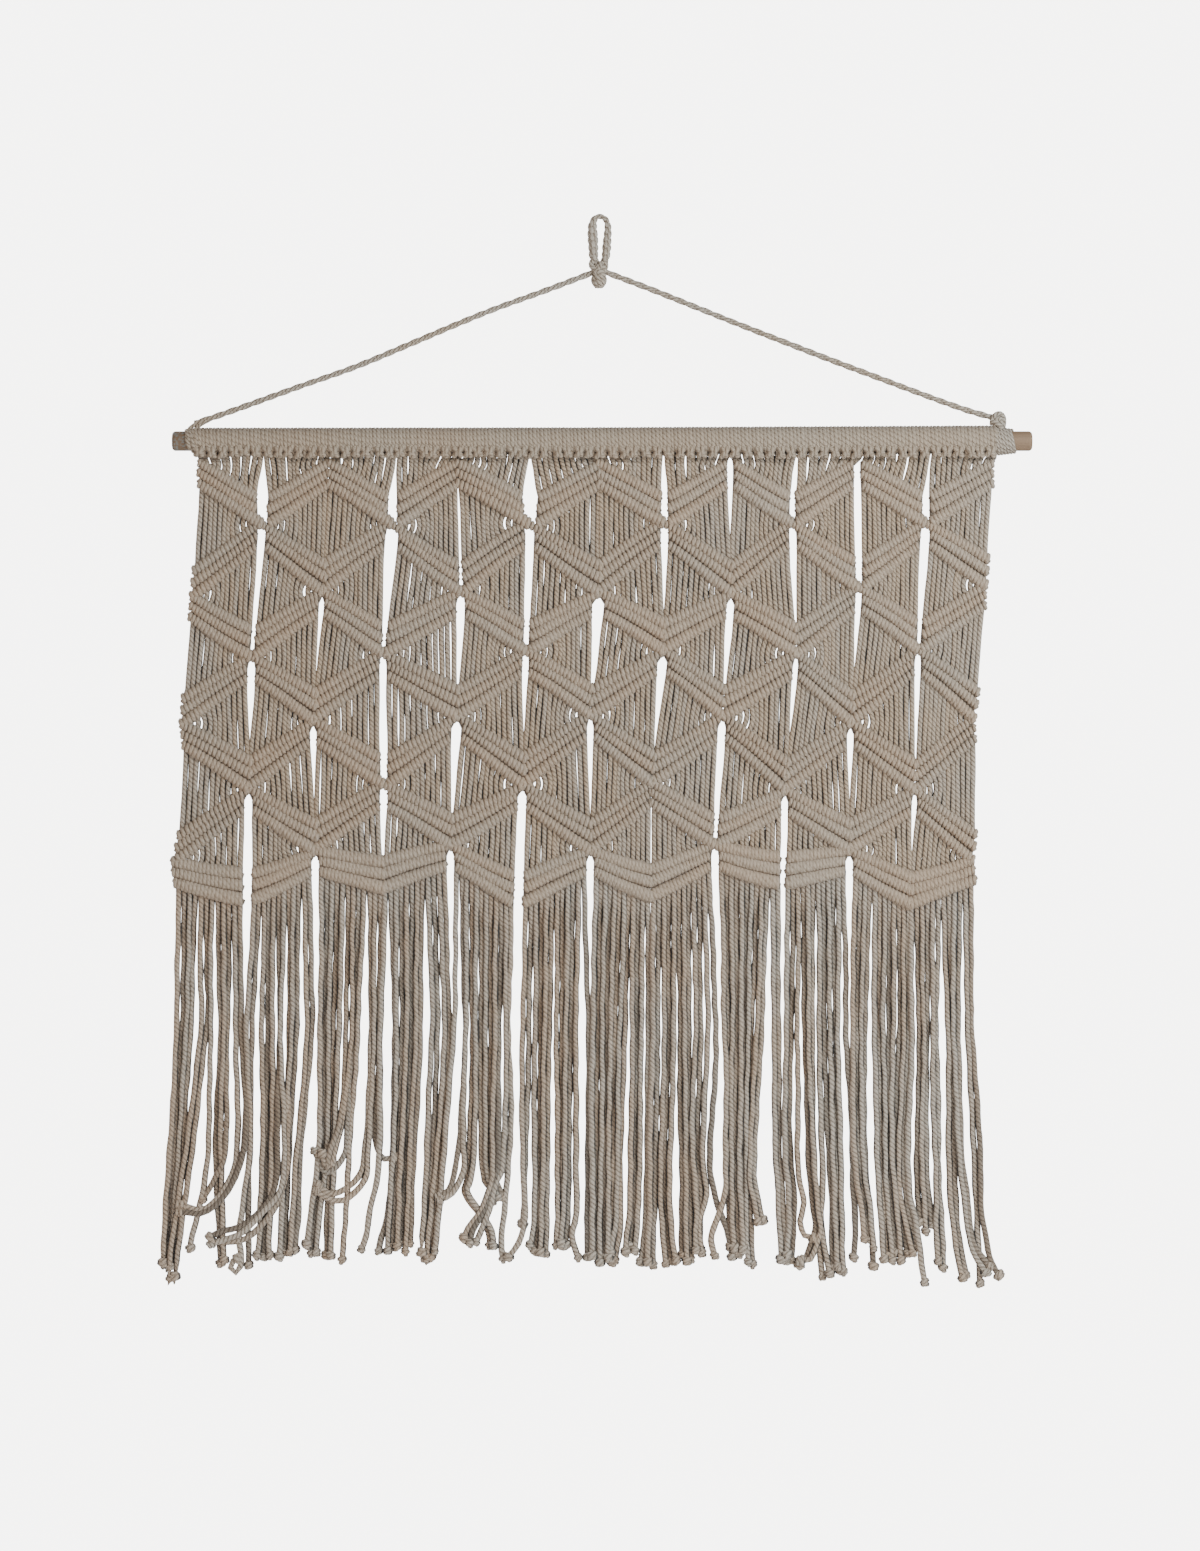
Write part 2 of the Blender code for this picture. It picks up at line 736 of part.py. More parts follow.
def sweep(path: list, section: list, closed: bool) -> bmesh.types.BMesh:
    """A tube along a path in the x, z plane. The section gives a ring of (across, back) for each point."""
    bm = bmesh.new()
    rings = []
    for i, at in enumerate(path):
        before = path[i - 1] if i > 0 or closed else at
        after = path[(i + 1) % len(path)] if i + 1 < len(path) or closed else at
        forward = Vector((after[0] - before[0], after[1] - before[1])).normalized()
        across = Vector((-forward.y, forward.x))
        rings.append([
            bm.verts.new((at[0] + across.x * out, back, at[1] + across.y * out)) for out, back in section[i]
        ])
    pairs = list(zip(rings, rings[1:]))
    if closed:
        pairs.append((rings[-1], rings[0]))
    else:
        bm.faces.new(rings[0])
        bm.faces.new(rings[-1])
    for ring, after in pairs:
        for k in range(len(ring)):
            bm.faces.new((ring[k - 1], ring[k], after[k], after[k - 1]))
    return bm


def add_rope(name: str, route: tuple, material: bpy.types.Material) -> None:
    """One run of the two-ply hanging rope: a flat section that turns about the rope's middle."""
    path = smooth_path(list(route), ROPE_TURN / ROPE_STEPS_PER_TURN)
    corners = [(ROPE_WIDTH / 2, ROPE_THICKNESS / 2), (-ROPE_WIDTH / 2, ROPE_THICKNESS / 2)]
    corners += [(-out, -back) for out, back in corners]
    section = []
    run = 0.0
    for i, at in enumerate(path):
        run += (at - path[i - 1]).length if i else 0.0
        turn = math.tau * run / ROPE_TURN
        section.append([
            (out * math.cos(turn) - back * math.sin(turn), out * math.sin(turn) + back * math.cos(turn))
            for out, back in corners
        ])
    add_object(name, sweep(path, section, False), material)


def circle(radius: float, sides: int) -> list:
    """A round section."""
    turns = [math.tau * k / sides for k in range(sides)]
    return [(radius * math.cos(turn), radius * math.sin(turn)) for turn in turns]


def add_loop(material: bpy.types.Material) -> None:
    """The hanging loop, thin at the crown and thick in its legs."""
    left = [LoopPoint(-point.x, point.z, point.radius) for point in LOOP_SIDE[-2:0:-1]]
    path = smooth_path([*LOOP_SIDE, *left], LOOP_STEP, closed=True)
    section = [circle(at[2], LOOP_SECTION_SIDES) for at in path]
    add_object("hanging_loop", sweep(path, section, True), material)


def add_loop_knot(material: bpy.types.Material) -> None:
    """The gathered knot that closes the loop, with the round knob under it."""
    path = [Vector((LOOP_KNOT_X, point.z)) for point in LOOP_KNOT]
    section = [circle(point.radius, LOOP_KNOT_SIDES) for point in LOOP_KNOT]
    add_object("loop_knot", sweep(path, section, False), material)


def add_end_knot(material: bpy.types.Material) -> None:
    """The knot that ties the rope off on top of the rod's right end."""
    bm = bmesh.new()
    bmesh.ops.create_icosphere(bm, subdivisions=2, radius=END_KNOT_RADIUS)
    bmesh.ops.translate(bm, vec=(END_KNOT_AT[0], 0, END_KNOT_AT[1]), verts=bm.verts)
    add_object("end_knot_right", bm, material)


def main() -> None:
    """Builds every piece."""
    clear_scene()
    cord = make_material("cotton_cord", (0.43, 0.36, 0.29), 0.9)
    panel_cord = make_material("panel_cord", (0.41, 0.34, 0.27), 0.9)
    fringe_cord = make_material("fringe_cord", (0.42, 0.35, 0.29), 0.9)
    rope = make_material("hanging_rope", (0.45, 0.39, 0.32), 0.9)
    wood = make_material("rod_wood", (0.36, 0.27, 0.19), 0.6)
    add_rod(wood)
    add_winding("heading_knots", HEADING, cord)
    add_winding("end_turns_left", TURNS_LEFT, rope)
    add_winding("end_turns_right", TURNS_RIGHT, rope)
    Panel().build(panel_cord)
    hanging = strands()
    per_piece = 2 * STRANDS_PER_COLUMN
    for index in range(COLUMNS // 2):
        add_fringe(index, hanging[index * per_piece:(index + 1) * per_piece], fringe_cord)
    add_rope("hanger_left", ROPE_LEFT, rope)
    add_rope("hanger_right", ROPE_RIGHT, rope)
    add_end_knot(rope)
    add_loop(rope)
    add_loop_knot(rope)


main()
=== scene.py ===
"""Dresses the macrame wall hanging: knotted bars, straight cords, fringe, rod, rope and a plain studio.

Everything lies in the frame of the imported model: +X to the right as seen from the room, +Y back to the wall,
+Z up, with the origin inside the hanging loop's crown. Tables and sizes are in millimetres, and a mesh is
brought to metres as it is made.
"""

import logging
import math
import random
from dataclasses import dataclass, field
from enum import Enum

import bmesh
import bpy
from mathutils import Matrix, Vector


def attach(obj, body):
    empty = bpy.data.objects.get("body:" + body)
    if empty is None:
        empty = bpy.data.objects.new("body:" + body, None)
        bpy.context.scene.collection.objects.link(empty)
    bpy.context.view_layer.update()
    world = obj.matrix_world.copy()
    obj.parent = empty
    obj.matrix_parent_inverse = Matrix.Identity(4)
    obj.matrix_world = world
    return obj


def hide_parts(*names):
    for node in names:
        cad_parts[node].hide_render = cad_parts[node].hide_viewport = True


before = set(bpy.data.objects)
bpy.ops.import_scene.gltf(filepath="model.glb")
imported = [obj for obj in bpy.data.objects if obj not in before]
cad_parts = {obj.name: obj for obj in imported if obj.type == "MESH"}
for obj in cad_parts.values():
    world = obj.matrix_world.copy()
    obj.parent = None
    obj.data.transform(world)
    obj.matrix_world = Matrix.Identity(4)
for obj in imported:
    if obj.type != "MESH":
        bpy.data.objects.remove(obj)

log = logging.getLogger("macrame")

MM = 0.001
BODY = "root"
COLUMNS = 12
ROWS = 7
CORDS_PER_COLUMN = 12
CORDS = COLUMNS * CORDS_PER_COLUMN
PIECES = COLUMNS // 2
RIDGES = 3
LOWEST = RIDGES - 1
ROD_Z = -206.5

Place = tuple[float, float]
Colour = tuple[float, float, float]
Socket = bpy.types.NodeSocket


# ---- the layout of the panel, as the solids have it ----


@dataclass(frozen=True)
class Level:
    """A level of nodes, where the bars of two columns meet, with the panel's outer edges there."""

    node_x: tuple[float, ...]
    node_z: tuple[float, ...]
    left: float
    right: float


@dataclass(frozen=True)
class Bunch:
    """Fringe cords that hang together: how many, and the course of their middle.

    It runs from the x halfway down, over the (x, z) places on the way, to the x and z at the end, where the
    cords are the pitch apart.
    """

    cords: int
    middle: float
    hem: float
    end: float
    pitch: float = 3.0
    via: tuple[Place, ...] = ()


@dataclass(frozen=True)
class RoutePoint:
    """A point on a cord's course, with its girth as a share of the usual one and how deep in shade it is."""

    x: float
    y: float
    z: float
    girth: float = 1.0
    shade: float = 0.0


# Even levels have their nodes on boundaries 0, 2 ... 12, and odd levels on boundaries 1, 3 ... 11.
LEVELS = (
    Level((-372, -252, -133, 0, 121, 239, 365), (-227, -227, -227, -227, -227, -227, -227), -372, 365),
    Level((-314, -193, -65, 60, 179, 303), (-284, -284, -284, -283, -283, -283), -373, 363),
    Level((-379, -258, -129, -1, 122, 241, 358), (-351, -346, -347, -347, -348, -343, -340), -379, 358),
    Level((-324, -202, -69, 59, 183, 296), (-407, -404, -402, -401, -404, -401), -383, 357),
    Level((-389, -267, -133, -9, 114, 233, 347), (-470, -466, -462, -461, -462, -468, -464), -389, 347),
    Level((-327, -201, -72, 48, 172, 293), (-529, -526, -526, -524, -531, -531), -384, 353),
    Level((-396, -265, -139, -9, 107, 232, 346), (-598, -587, -582, -587, -582, -587, -596), -396, 346),
    Level((-328, -202, -76, 47, 170, 288), (-633, -622, -636, -629, -618, -637), -393, 349),
)

# Widths of the open slits on each inner boundary, from the heading down, near the upper end of each, halfway
# and near the lower end.
SLITS = {
    1: ((3, 12, 9), (7, 5, 4), (7, 3, 1), (7, 9, 8)),
    2: ((3, 1, 1), (5, 1, 1), (6, 3, 1)),
    3: ((3, 8, 9), (12, 8, 4), (6, 9, 6), (7, 4, 2)),
    4: ((3, 1, 4), (8, 7, 2), (9, 6, 2)),
    5: ((7, 16, 11), (8, 5, 5), (6, 2, 1), (8, 7, 9)),
    6: ((1, 2, 1), (11, 5, 3), (6, 3, 2)),
    7: ((3, 5, 7), (7, 3, 1), (9, 2, 2), (3, 2, 3)),
    8: ((6, 2, 1), (7, 4, 3), (7, 6, 4)),
    9: ((2, 5, 6), (7, 4, 3), (5, 1, 1), (6, 7, 5)),
    10: ((6, 11, 6), (6, 4, 1), (6, 3, 1)),
    11: ((4, 6, 7), (9, 7, 4), (6, 2, 3), (5, 1, 1)),
}
SLIT_SHARES = (0.15, 0.5, 0.85)
HEM_SLIT = 7.0
SLIT_TOP = -221.6

# A slit below the narrow width closes by as much again as it falls short of it, until the two columns lap.
NARROW_SLIT = 4.5
COLUMN_LAP = 2.4

# The fringe from left to right: cords, middle, hem, end, pitch and the (x, z) places on the way
BUNCHES = (
    Bunch(4, -387, -401, -977, 3),
    Bunch(2, -371.3, -397, -992),
    Bunch(1, -360, -380.7, -961, 3, ((-365.6, -856), (-371, -916), (-377, -945))),
    Bunch(2, -351.2, -351, -978, 3, ((-355, -850),)),
    Bunch(1, -344.9, -370, -916, 3, ((-349, -858), (-357, -890))),
    Bunch(2, -336.4, -391, -929, 5.6, ((-333, -838), (-342, -889), (-366, -921))),
    Bunch(1, -328, -336, -970, 3, ((-326, -860), (-334, -938), (-333, -962), (-333.5, -974), (-338.5, -979.5),
                                   (-343, -975), (-341, -969))),
    Bunch(1, -323.5, -327, -977, 3, ((-327, -880),)),
    Bunch(3, -309.8, -313, -974, 5.2, ((-310, -880),)),
    Bunch(3, -295.1, -362, -958, 3.4, ((-293, -866), (-298.5, -901), (-310, -924), (-331, -942))),
    Bunch(2, -284.6, -296, -971, 4, ((-292, -890),)),
    Bunch(2, -270, -286, -969, 4.2, ((-281, -868), (-283, -920))),
    Bunch(3, -256, -268, -967, 3.6, ((-258, -870),)),
    Bunch(2, -245.5, -252, -968, 3.2, ((-250, -880),)),
    Bunch(3, -231.1, -262, -876, 3.4, ((-236, -833), (-244, -866), (-254, -883))),
    Bunch(1, -224.8, -240, -972, 3, ((-234, -880),)),
    Bunch(2, -211.6, -263, -912, 3, ((-215, -860), (-222, -891), (-240, -908), (-253, -906))),
    Bunch(1, -205.3, -189, -875, 3, ((-209, -840), (-207, -864), (-200, -874))),
    Bunch(1, -201.1, -222, -962, 3, ((-204, -870), (-212, -920))),
    Bunch(1, -191.2, -206, -964, 3, ((-194, -870), (-197, -920))),
    Bunch(6, -178, -187, -966, 3.4, ((-183, -880),)),
    Bunch(2, -153.6, -163.5, -971, 3.2),
    Bunch(3, -140.4, -157.5, -973, 3, ((-150, -880),)),
    Bunch(2, -125.4, -150, -919, 3.6, ((-129, -826), (-127, -856), (-131, -884), (-138, -905))),
    Bunch(2, -116.9, -101, -964, 3, ((-120, -880), (-124, -905), (-110, -926), (-102, -942))),
    Bunch(3, -106.4, -95, -917, 4.6, ((-106, -880),)),
    Bunch(3, -93.8, -121, -961, 4.6, ((-96, -870), (-98, -893), (-108, -920), (-118, -940))),
    Bunch(1, -84.6, -90, -971, 3, ((-83, -840), (-86, -900), (-92, -950))),
    Bunch(1, -72.8, -86, -969, 3, ((-71, -900), (-71, -932), (-76, -953))),
    Bunch(1, -66.5, -72, -939, 4.6, ((-69, -880),)),
    Bunch(4, -53.9, -58, -969, 4.2, ((-55, -880), (-56, -940))),
    Bunch(2, -37.6, -39, -963, 3, ((-37, -900),)),
    Bunch(2, -29.2, -34, -966, 3.4, ((-31, -900),)),
    Bunch(1, -22.9, -20, -970, 3, ((-22, -880), (-21, -925), (-27, -945))),
    Bunch(7, 1.6, 0, -975, 3.1, ((1, -880),)),
    Bunch(2, 21, 12, -973, 3, ((17.5, -880), (17, -930))),
    Bunch(3, 34, 28, -967, 3.6, ((32, -900),)),
    Bunch(3, 49, 44, -978, 4.8, ((47, -900), (45, -950))),
    Bunch(3, 63.9, 66, -976, 4, ((60, -880), (62, -935))),
    Bunch(3, 79, 81, -977, 3, ((80, -900),)),
    Bunch(2, 91.9, 91, -967, 3.4, ((88, -850), (92, -915))),
    Bunch(1, 100.5, 95, -966, 3, ((95.5, -871), (98, -907), (92, -935))),
    Bunch(1, 108, 122.8, -969, 3, ((104, -850), (103, -890), (110, -922), (119, -945))),
    Bunch(1, 115.8, 107, -968, 3, ((118, -860), (116, -905), (107, -932), (102.5, -950))),
    Bunch(5, 127, 129, -968, 3, ((126, -880),)),
    Bunch(2, 139.5, 140, -979, 3.4, ((138, -880), (138, -940))),
    Bunch(2, 147.3, 149, -943, 4, ((143, -840), (141, -890))),
    Bunch(2, 165, 171, -973, 3.6, ((164, -850), (168, -910))),
    Bunch(2, 175.5, 176, -974, 3.6, ((174, -850), (178, -915))),
    Bunch(1, 183.9, 199, -951, 3, ((183.5, -870), (189, -915), (186, -932), (190, -945))),
    Bunch(2, 192.5, 186, -980, 3, ((196, -870), (201, -920), (203, -940), (194, -966))),
    Bunch(1, 196.7, 207, -988, 3, ((199, -880), (203, -940))),
    Bunch(1, 204.6, 214, -985, 3, ((206, -860), (207, -905), (205, -930), (211, -965))),
    Bunch(2, 212, 219, -987, 3, ((213, -850), (217, -915))),
    Bunch(2, 220, 225, -986, 3, ((222, -880), (223, -940))),
    Bunch(1, 229.8, 236, -970, 3, ((233, -820), (236, -900), (238.5, -930))),
    Bunch(3, 238.2, 250, -962, 3.6, ((241, -870), (247, -924))),
    Bunch(1, 246.6, 254.5, -978, 3, ((246, -870), (251, -924))),
    Bunch(5, 264, 272, -974, 3.2, ((265, -871), (269, -930))),
    Bunch(3, 282.5, 291, -971, 3.8, ((278, -880), (283, -925))),
    Bunch(1, 290.3, 302, -993, 3, ((287, -890), (294, -935))),
    Bunch(3, 300.8, 303, -946, 5, ((299, -880),)),
    Bunch(2, 311, 317, -981, 3.6, ((313, -880), (315, -930))),
    Bunch(2, 325.2, 339, -995, 3, ((327, -880), (331, -940))),
    Bunch(2, 332, 361, -984, 3, ((335, -860), (340, -915), (348, -951))),
    Bunch(1, 341.4, 353.5, -994, 3, ((348, -871), (350, -930))),
    Bunch(1, 347.7, 371, -986, 5, ((351, -871), (353, -915), (360, -950))),
)

# The hanging rope's route in the x, z plane, from the loop knot outwards
ROPE_LEFT = (
    (-8.7, -50.6), (-52, -67.0), (-95.8, -82.8), (-135, -98.6), (-174.3, -115.3), (-226.9, -137.2),
    (-279, -155.6), (-331, -174.4), (-356, -183.2), (-377, -190.2),
)
ROPE_RIGHT = (
    (7.5, -50.2), (48, -65.6), (87.4, -81.3), (129, -97.9), (170.2, -113.9), (215, -131.2),
    (259.5, -147.9), (303, -164.2), (340, -177.4), (366.4, -185.0),
)


def between(a: float, b: float, share: float) -> float:
    """The value this share of the way from a to b."""
    return a + (b - a) * share


def along(a: Place, b: Place, share: float) -> Place:
    """The point this share of the way from a to b."""
    return between(a[0], b[0], share), between(a[1], b[1], share)


def jitter(dice: random.Random, most: float) -> float:
    """A chance shift to either side, at most this far."""
    return dice.uniform(-most, most)


def place_of(number: int) -> tuple[int, int, float]:
    """A cord's column, its place in it from the left, and that place as a share of the column's width."""
    column, place = divmod(number, CORDS_PER_COLUMN)
    return column, place, (place + 0.5) / CORDS_PER_COLUMN


def open_side(place: int) -> float:
    """The side where no cord lies against the one at a place in its column: -1 left, 1 right, 0 neither."""
    return {0: -1.0, CORDS_PER_COLUMN - 1: 1.0}.get(place, 0.0)


def add_object(name: str, data: bpy.types.ID) -> bpy.types.Object:
    """Puts a mesh, a lamp or a camera into the scene."""
    made = bpy.data.objects.new(name, data)
    bpy.context.scene.collection.objects.link(made)
    return made


def read_off(rows: list[Place], at: float) -> float:
    """Reads a value from (place, value) rows in rising order of place, held level past both ends.

    Args:
        rows: The rows.
        at: The place to read at.

    Returns:
        The value there.
    """
    if at <= rows[0][0]:
        return rows[0][1]
    for (place, value), (next_place, next_value) in zip(rows, rows[1:]):
        if at <= next_place:
            return between(value, next_value, (at - place) / (next_place - place))
    return rows[-1][1]


def smooth(points: list[tuple], step: float) -> list[Vector]:
    """Points about a step apart on a Catmull-Rom curve through the given ones.

    Args:
        points: The points to run through, all of one length.
        step: The wanted distance between two points.

    Returns:
        The points, as vectors of the given length.
    """
    keys = [Vector(point) for point in points]
    keys = [2 * keys[0] - keys[1], *keys, 2 * keys[-1] - keys[-2]]
    found = []
    for a, b, c, d in zip(keys, keys[1:], keys[2:], keys[3:]):
        parts = max(1, round((c - b).length / step))
        bend, swing = 2 * a - 5 * b + 4 * c - d, 3 * b - a - 3 * c + d
        for k in range(parts):
            t = k / parts
            found.append(b + 0.5 * ((c - a) * t + bend * t**2 + swing * t**3))
    found.append(keys[-2])
    return found


def beside(route: list[Place], offsets: list[float]) -> list[Place]:
    """Moves a route sideways.

    Args:
        route: The route's (x, z) places, from the top down.
        offsets: How far each place moves, to the right where the route falls straight.

    Returns:
        The moved route.
    """
    found = []
    for i, (x, z) in enumerate(route):
        before, after = route[max(i - 1, 0)], route[min(i + 1, len(route) - 1)]
        way = Vector((after[0] - before[0], after[1] - before[1])).normalized()
        found.append((x - way.y * offsets[i], z + way.x * offsets[i]))
    return found


class Layout:
    """Where the panel's nodes, column sides and bars lie."""

    def node(self, boundary: int, level: int) -> Place:
        """The (x, z) of the node on a boundary at a level of the same parity."""
        row = LEVELS[level]
        return row.node_x[boundary // 2], row.node_z[boundary // 2]

    def boundary_x(self, boundary: int, z: float) -> float:
        """Where a boundary between two columns, or an outer edge, runs at a height."""
        if boundary in (0, COLUMNS):
            edge = [(-row.node_z[-(boundary > 0)], row.left if boundary == 0 else row.right) for row in LEVELS]
            return read_off(edge, -z)
        nodes = [self.node(boundary, level) for level in range(boundary % 2, len(LEVELS), 2)]
        return read_off([(-node_z, node_x) for node_x, node_z in nodes], -z)

    def slit(self, boundary: int, z: float) -> float:
        """The gap between the two columns on an inner boundary at a height, below nought where they overlap."""
        if boundary in (0, COLUMNS):
            return 0.0
        upper = SLIT_TOP
        levels = [level for level in range(boundary % 2, len(LEVELS), 2) if level > 0]
        for widths, level in zip(SLITS[boundary], levels):
            lower = self.node(boundary, level)[1]
            if z >= lower:
                width = read_off(list(zip(SLIT_SHARES, widths)), (upper - z) / (upper - lower))
                return max(-COLUMN_LAP, min(width, 2 * width - NARROW_SLIT))
            upper = lower
        return HEM_SLIT

    def side_x(self, column: int, boundary: int, z: float) -> float:
        """The x of a column's side, along one of its two boundaries."""
        half = self.slit(boundary, z) / 2
        return self.boundary_x(boundary, z) + (half if boundary == column else -half)

    def bar(self, column: int, row: int) -> "Bar":
        """The bar that crosses a column in a row."""
        upper, lower = (column, column + 1) if (column + row) % 2 == 0 else (column + 1, column)
        return Bar(self, column, row, upper, lower)


@dataclass(frozen=True)
class Bar:
    """A bar of three ridges that falls from a node on one side of a column to one on the other side."""

    layout: Layout
    column: int
    row: int
    upper: int
    lower: int

    # Heights of the three ridges above the upper node, and above the lower node
    START = (0.0, -9.3, -19.1)
    END = (24.2, 13.0, 0.0)

    @property
    def falls_right(self) -> bool:
        """Whether the bar falls from left to right."""
        return self.upper == self.column

    def start(self, ridge: int) -> Place:
        """The (x, z) where a ridge begins, at the upper node."""
        z = self.layout.node(self.upper, self.row)[1] + self.START[ridge]
        return self.layout.side_x(self.column, self.upper, z), z

    def end(self, ridge: int) -> Place:
        """The (x, z) where a ridge ends, at the lower node."""
        z = self.layout.node(self.lower, self.row + 1)[1] + self.END[ridge]
        return self.layout.side_x(self.column, self.lower, z), z

    def crossing(self, ridge: int, share: float) -> Place:
        """Where the cord at this share of the column's width, from the left, passes a ridge."""
        left, right = sorted((self.start(ridge), self.end(ridge)))
        return along(left, right, share)

    def half_width(self, share: float) -> float:
        """Half the distance between two ridges, this share of the way down the bar."""
        fall = Vector(self.end(1)) - Vector(self.start(1))
        apart = between(self.START[0] - self.START[2], self.END[0] - self.END[2], share) / 2
        return apart / 2 * abs(fall.x) / fall.length


# ---- node trees ----


class Graph:
    """A node tree that is being put together."""

    def __init__(self, tree: bpy.types.NodeTree) -> None:
        self.tree = tree

    def put(self, socket: Socket, value: object) -> None:
        """Links an output to a socket, or sets the socket's own value."""
        if isinstance(value, Socket):
            self.tree.links.new(value, socket)
        else:
            socket.default_value = value

    def add(self, kind: str, inputs: dict[str | int, object] | None = None, **settings: object) -> bpy.types.Node:
        """Adds a node.

        Args:
            kind: The node's type.
            inputs: Values or outputs for its sockets, by name or number.
            settings: The node's own settings.

        Returns:
            The node.
        """
        made = self.tree.nodes.new(kind)
        for name, value in settings.items():
            setattr(made, name, value)
        for key, value in (inputs or {}).items():
            self.put(made.inputs[key], value)
        return made

    def math(self, operation: str, *values: object, clamp: bool = False) -> Socket:
        """The result of a Math node."""
        node = self.add("ShaderNodeMath", dict(enumerate(values)), operation=operation, use_clamp=clamp)
        return node.outputs[0]

    def vector(self, operation: str, *values: object) -> Socket:
        """The vector result of a Vector Math node."""
        return self.add("ShaderNodeVectorMath", dict(enumerate(values)), operation=operation).outputs[0]

    def scaled(self, vector: object, scale: object) -> Socket:
        """A vector times a number."""
        return self.add("ShaderNodeVectorMath", {0: vector, "Scale": scale}, operation="SCALE").outputs[0]

    def ramp(self, value: object, low: object, high: object, to_low: float = 0.0, to_high: float = 1.0) -> Socket:
        """A value brought smoothly from one range to another and held at its ends."""
        node = self.add("ShaderNodeMapRange", interpolation_type="SMOOTHSTEP")
        for key, part in enumerate((value, low, high, to_low, to_high)):
            self.put(node.inputs[key], part)
        return node.outputs[0]

    def mix(self, share: object, a: object, b: object) -> Socket:
        """The colour this share of the way from a to b."""
        node = self.add("ShaderNodeMix", data_type="RGBA")
        self.put(node.inputs[0], share)
        for key, colour in ((6, a), (7, b)):
            self.put(node.inputs[key], colour if isinstance(colour, Socket) else (*colour, 1.0))
        return node.outputs[2]


def open_material(name: str) -> tuple[bpy.types.Material, Graph, bpy.types.Node]:
    """Starts a material.

    Args:
        name: The material's name.

    Returns:
        The material, its graph and its shader node.
    """
    made = bpy.data.materials.new(name)
    made.use_nodes = True
    return made, Graph(made.node_tree), made.node_tree.nodes["Principled BSDF"]


class Laying(Enum):
    """How cord lies along its guide lines."""

    STRAIGHT = "straight"
    WOUND = "wound"


class CordTree:
    """The node tree that lays round cord along guide lines, straight or wound round them.

    A guide's points carry their girth and shade, the hand of the winding and numbers for the cord's shader.
    """

    SOCKETS = (
        ("Cord Radius", "NodeSocketFloat", 0.002),
        ("Sides", "NodeSocketInt", 6),
        ("Turns", "NodeSocketFloat", 24.0),
        ("Steps a Turn", "NodeSocketInt", 7),
        ("Winding Radius", "NodeSocketFloat", 0.003),
        ("Plies", "NodeSocketInt", 1),
        ("Unevenness", "NodeSocketFloat", 0.0),
        ("Pairing", "NodeSocketFloat", 0.0),
        ("Side Shade", "NodeSocketFloat", 0.0),
        ("Seed", "NodeSocketInt", 1),
        ("Material", "NodeSocketMaterial", None),
    )

    def __init__(self, laying: Laying) -> None:
        self.tree = bpy.data.node_groups.new(f"cord_{laying.value}", "GeometryNodeTree")
        face = self.tree.interface
        face.new_socket("Geometry", in_out="INPUT", socket_type="NodeSocketGeometry")
        face.new_socket("Geometry", in_out="OUTPUT", socket_type="NodeSocketGeometry")
        for name, kind, value in self.SOCKETS:
            socket = face.new_socket(name, in_out="INPUT", socket_type=kind)
            if value is not None:
                socket.default_value = value
        self.graph = Graph(self.tree)
        self.given = self.tree.nodes.new("NodeGroupInput").outputs
        self.build(laying)

    def attribute(self, name: str) -> Socket:
        """A guide point's own number."""
        return self.graph.add("GeometryNodeInputNamedAttribute", {"Name": name}).outputs["Attribute"]

    def store(self, shape: Socket, name: str, value: Socket, kind: str = "FLOAT") -> Socket:
        """Keeps a value on a shape's points under a name."""
        store = self.graph.add("GeometryNodeStoreNamedAttribute", data_type=kind, domain="POINT")
        for key, part in (("Geometry", shape), ("Name", name), ("Value", value)):
            self.graph.put(store.inputs[key], part)
        return store.outputs[0]

    def wind(self, curve: Socket) -> Socket:
        """Moves the points of guide curves onto a coil round them, one for each ply.

        Args:
            curve: The guide curves.

        Returns:
            The coiled curves, shaded where the coil turns away to its sides.
        """
        graph, given = self.graph, self.given
        plied = graph.add("GeometryNodeDuplicateElements", {"Geometry": curve, "Amount": given["Plies"]},
                          domain="SPLINE")
        count = graph.math("ADD", graph.math("MULTIPLY", given["Turns"], given["Steps a Turn"]), 1.0)
        fine = graph.add("GeometryNodeResampleCurve", {"Curve": plied.outputs[0], "Count": count}).outputs[0]
        share = graph.add("GeometryNodeSplineParameter").outputs["Factor"]
        turns = graph.math("MULTIPLY", share, graph.math("MULTIPLY", given["Turns"], self.attribute("hand")))
        ply = graph.math("DIVIDE", plied.outputs["Duplicate Index"], given["Plies"])
        angle = graph.math("MULTIPLY", graph.math("ADD", turns, ply), math.tau)
        sideways = graph.math("SINE", angle)
        wobble = graph.add("ShaderNodeTexNoise", {"W": given["Seed"], "Scale": 420.0, "Detail": 1.0},
                           noise_dimensions="4D").outputs["Fac"]
        uneven = graph.math("MULTIPLY", graph.math("SUBTRACT", wobble, 0.5), given["Unevenness"])
        paired = graph.math("MULTIPLY", graph.math("COSINE", graph.math("MULTIPLY", angle, 0.5)), given["Pairing"])
        uneven = graph.math("ADD", uneven, paired)
        radius = graph.math("MULTIPLY", given["Winding Radius"], graph.math("ADD", uneven, 1.0))
        radius = graph.math("MULTIPLY", radius, self.attribute("girth"))
        back = (0.0, 1.0, 0.0)
        across = graph.vector("CROSS_PRODUCT", graph.add("GeometryNodeInputTangent").outputs[0], back)
        round_y = graph.scaled(back, graph.math("MULTIPLY", graph.math("COSINE", angle), radius))
        round_x = graph.scaled(across, graph.math("MULTIPLY", sideways, radius))
        side = graph.ramp(graph.math("ABSOLUTE", sideways), 0.55, 0.95)
        shade = graph.math("MAXIMUM", self.attribute("shade"), graph.math("MULTIPLY", side, given["Side Shade"]))
        shaded = self.store(fine, "shade", shade)
        moved = graph.add("GeometryNodeSetPosition", {"Geometry": shaded})
        graph.put(moved.inputs["Offset"], graph.vector("ADD", round_y, round_x))
        return moved.outputs[0]

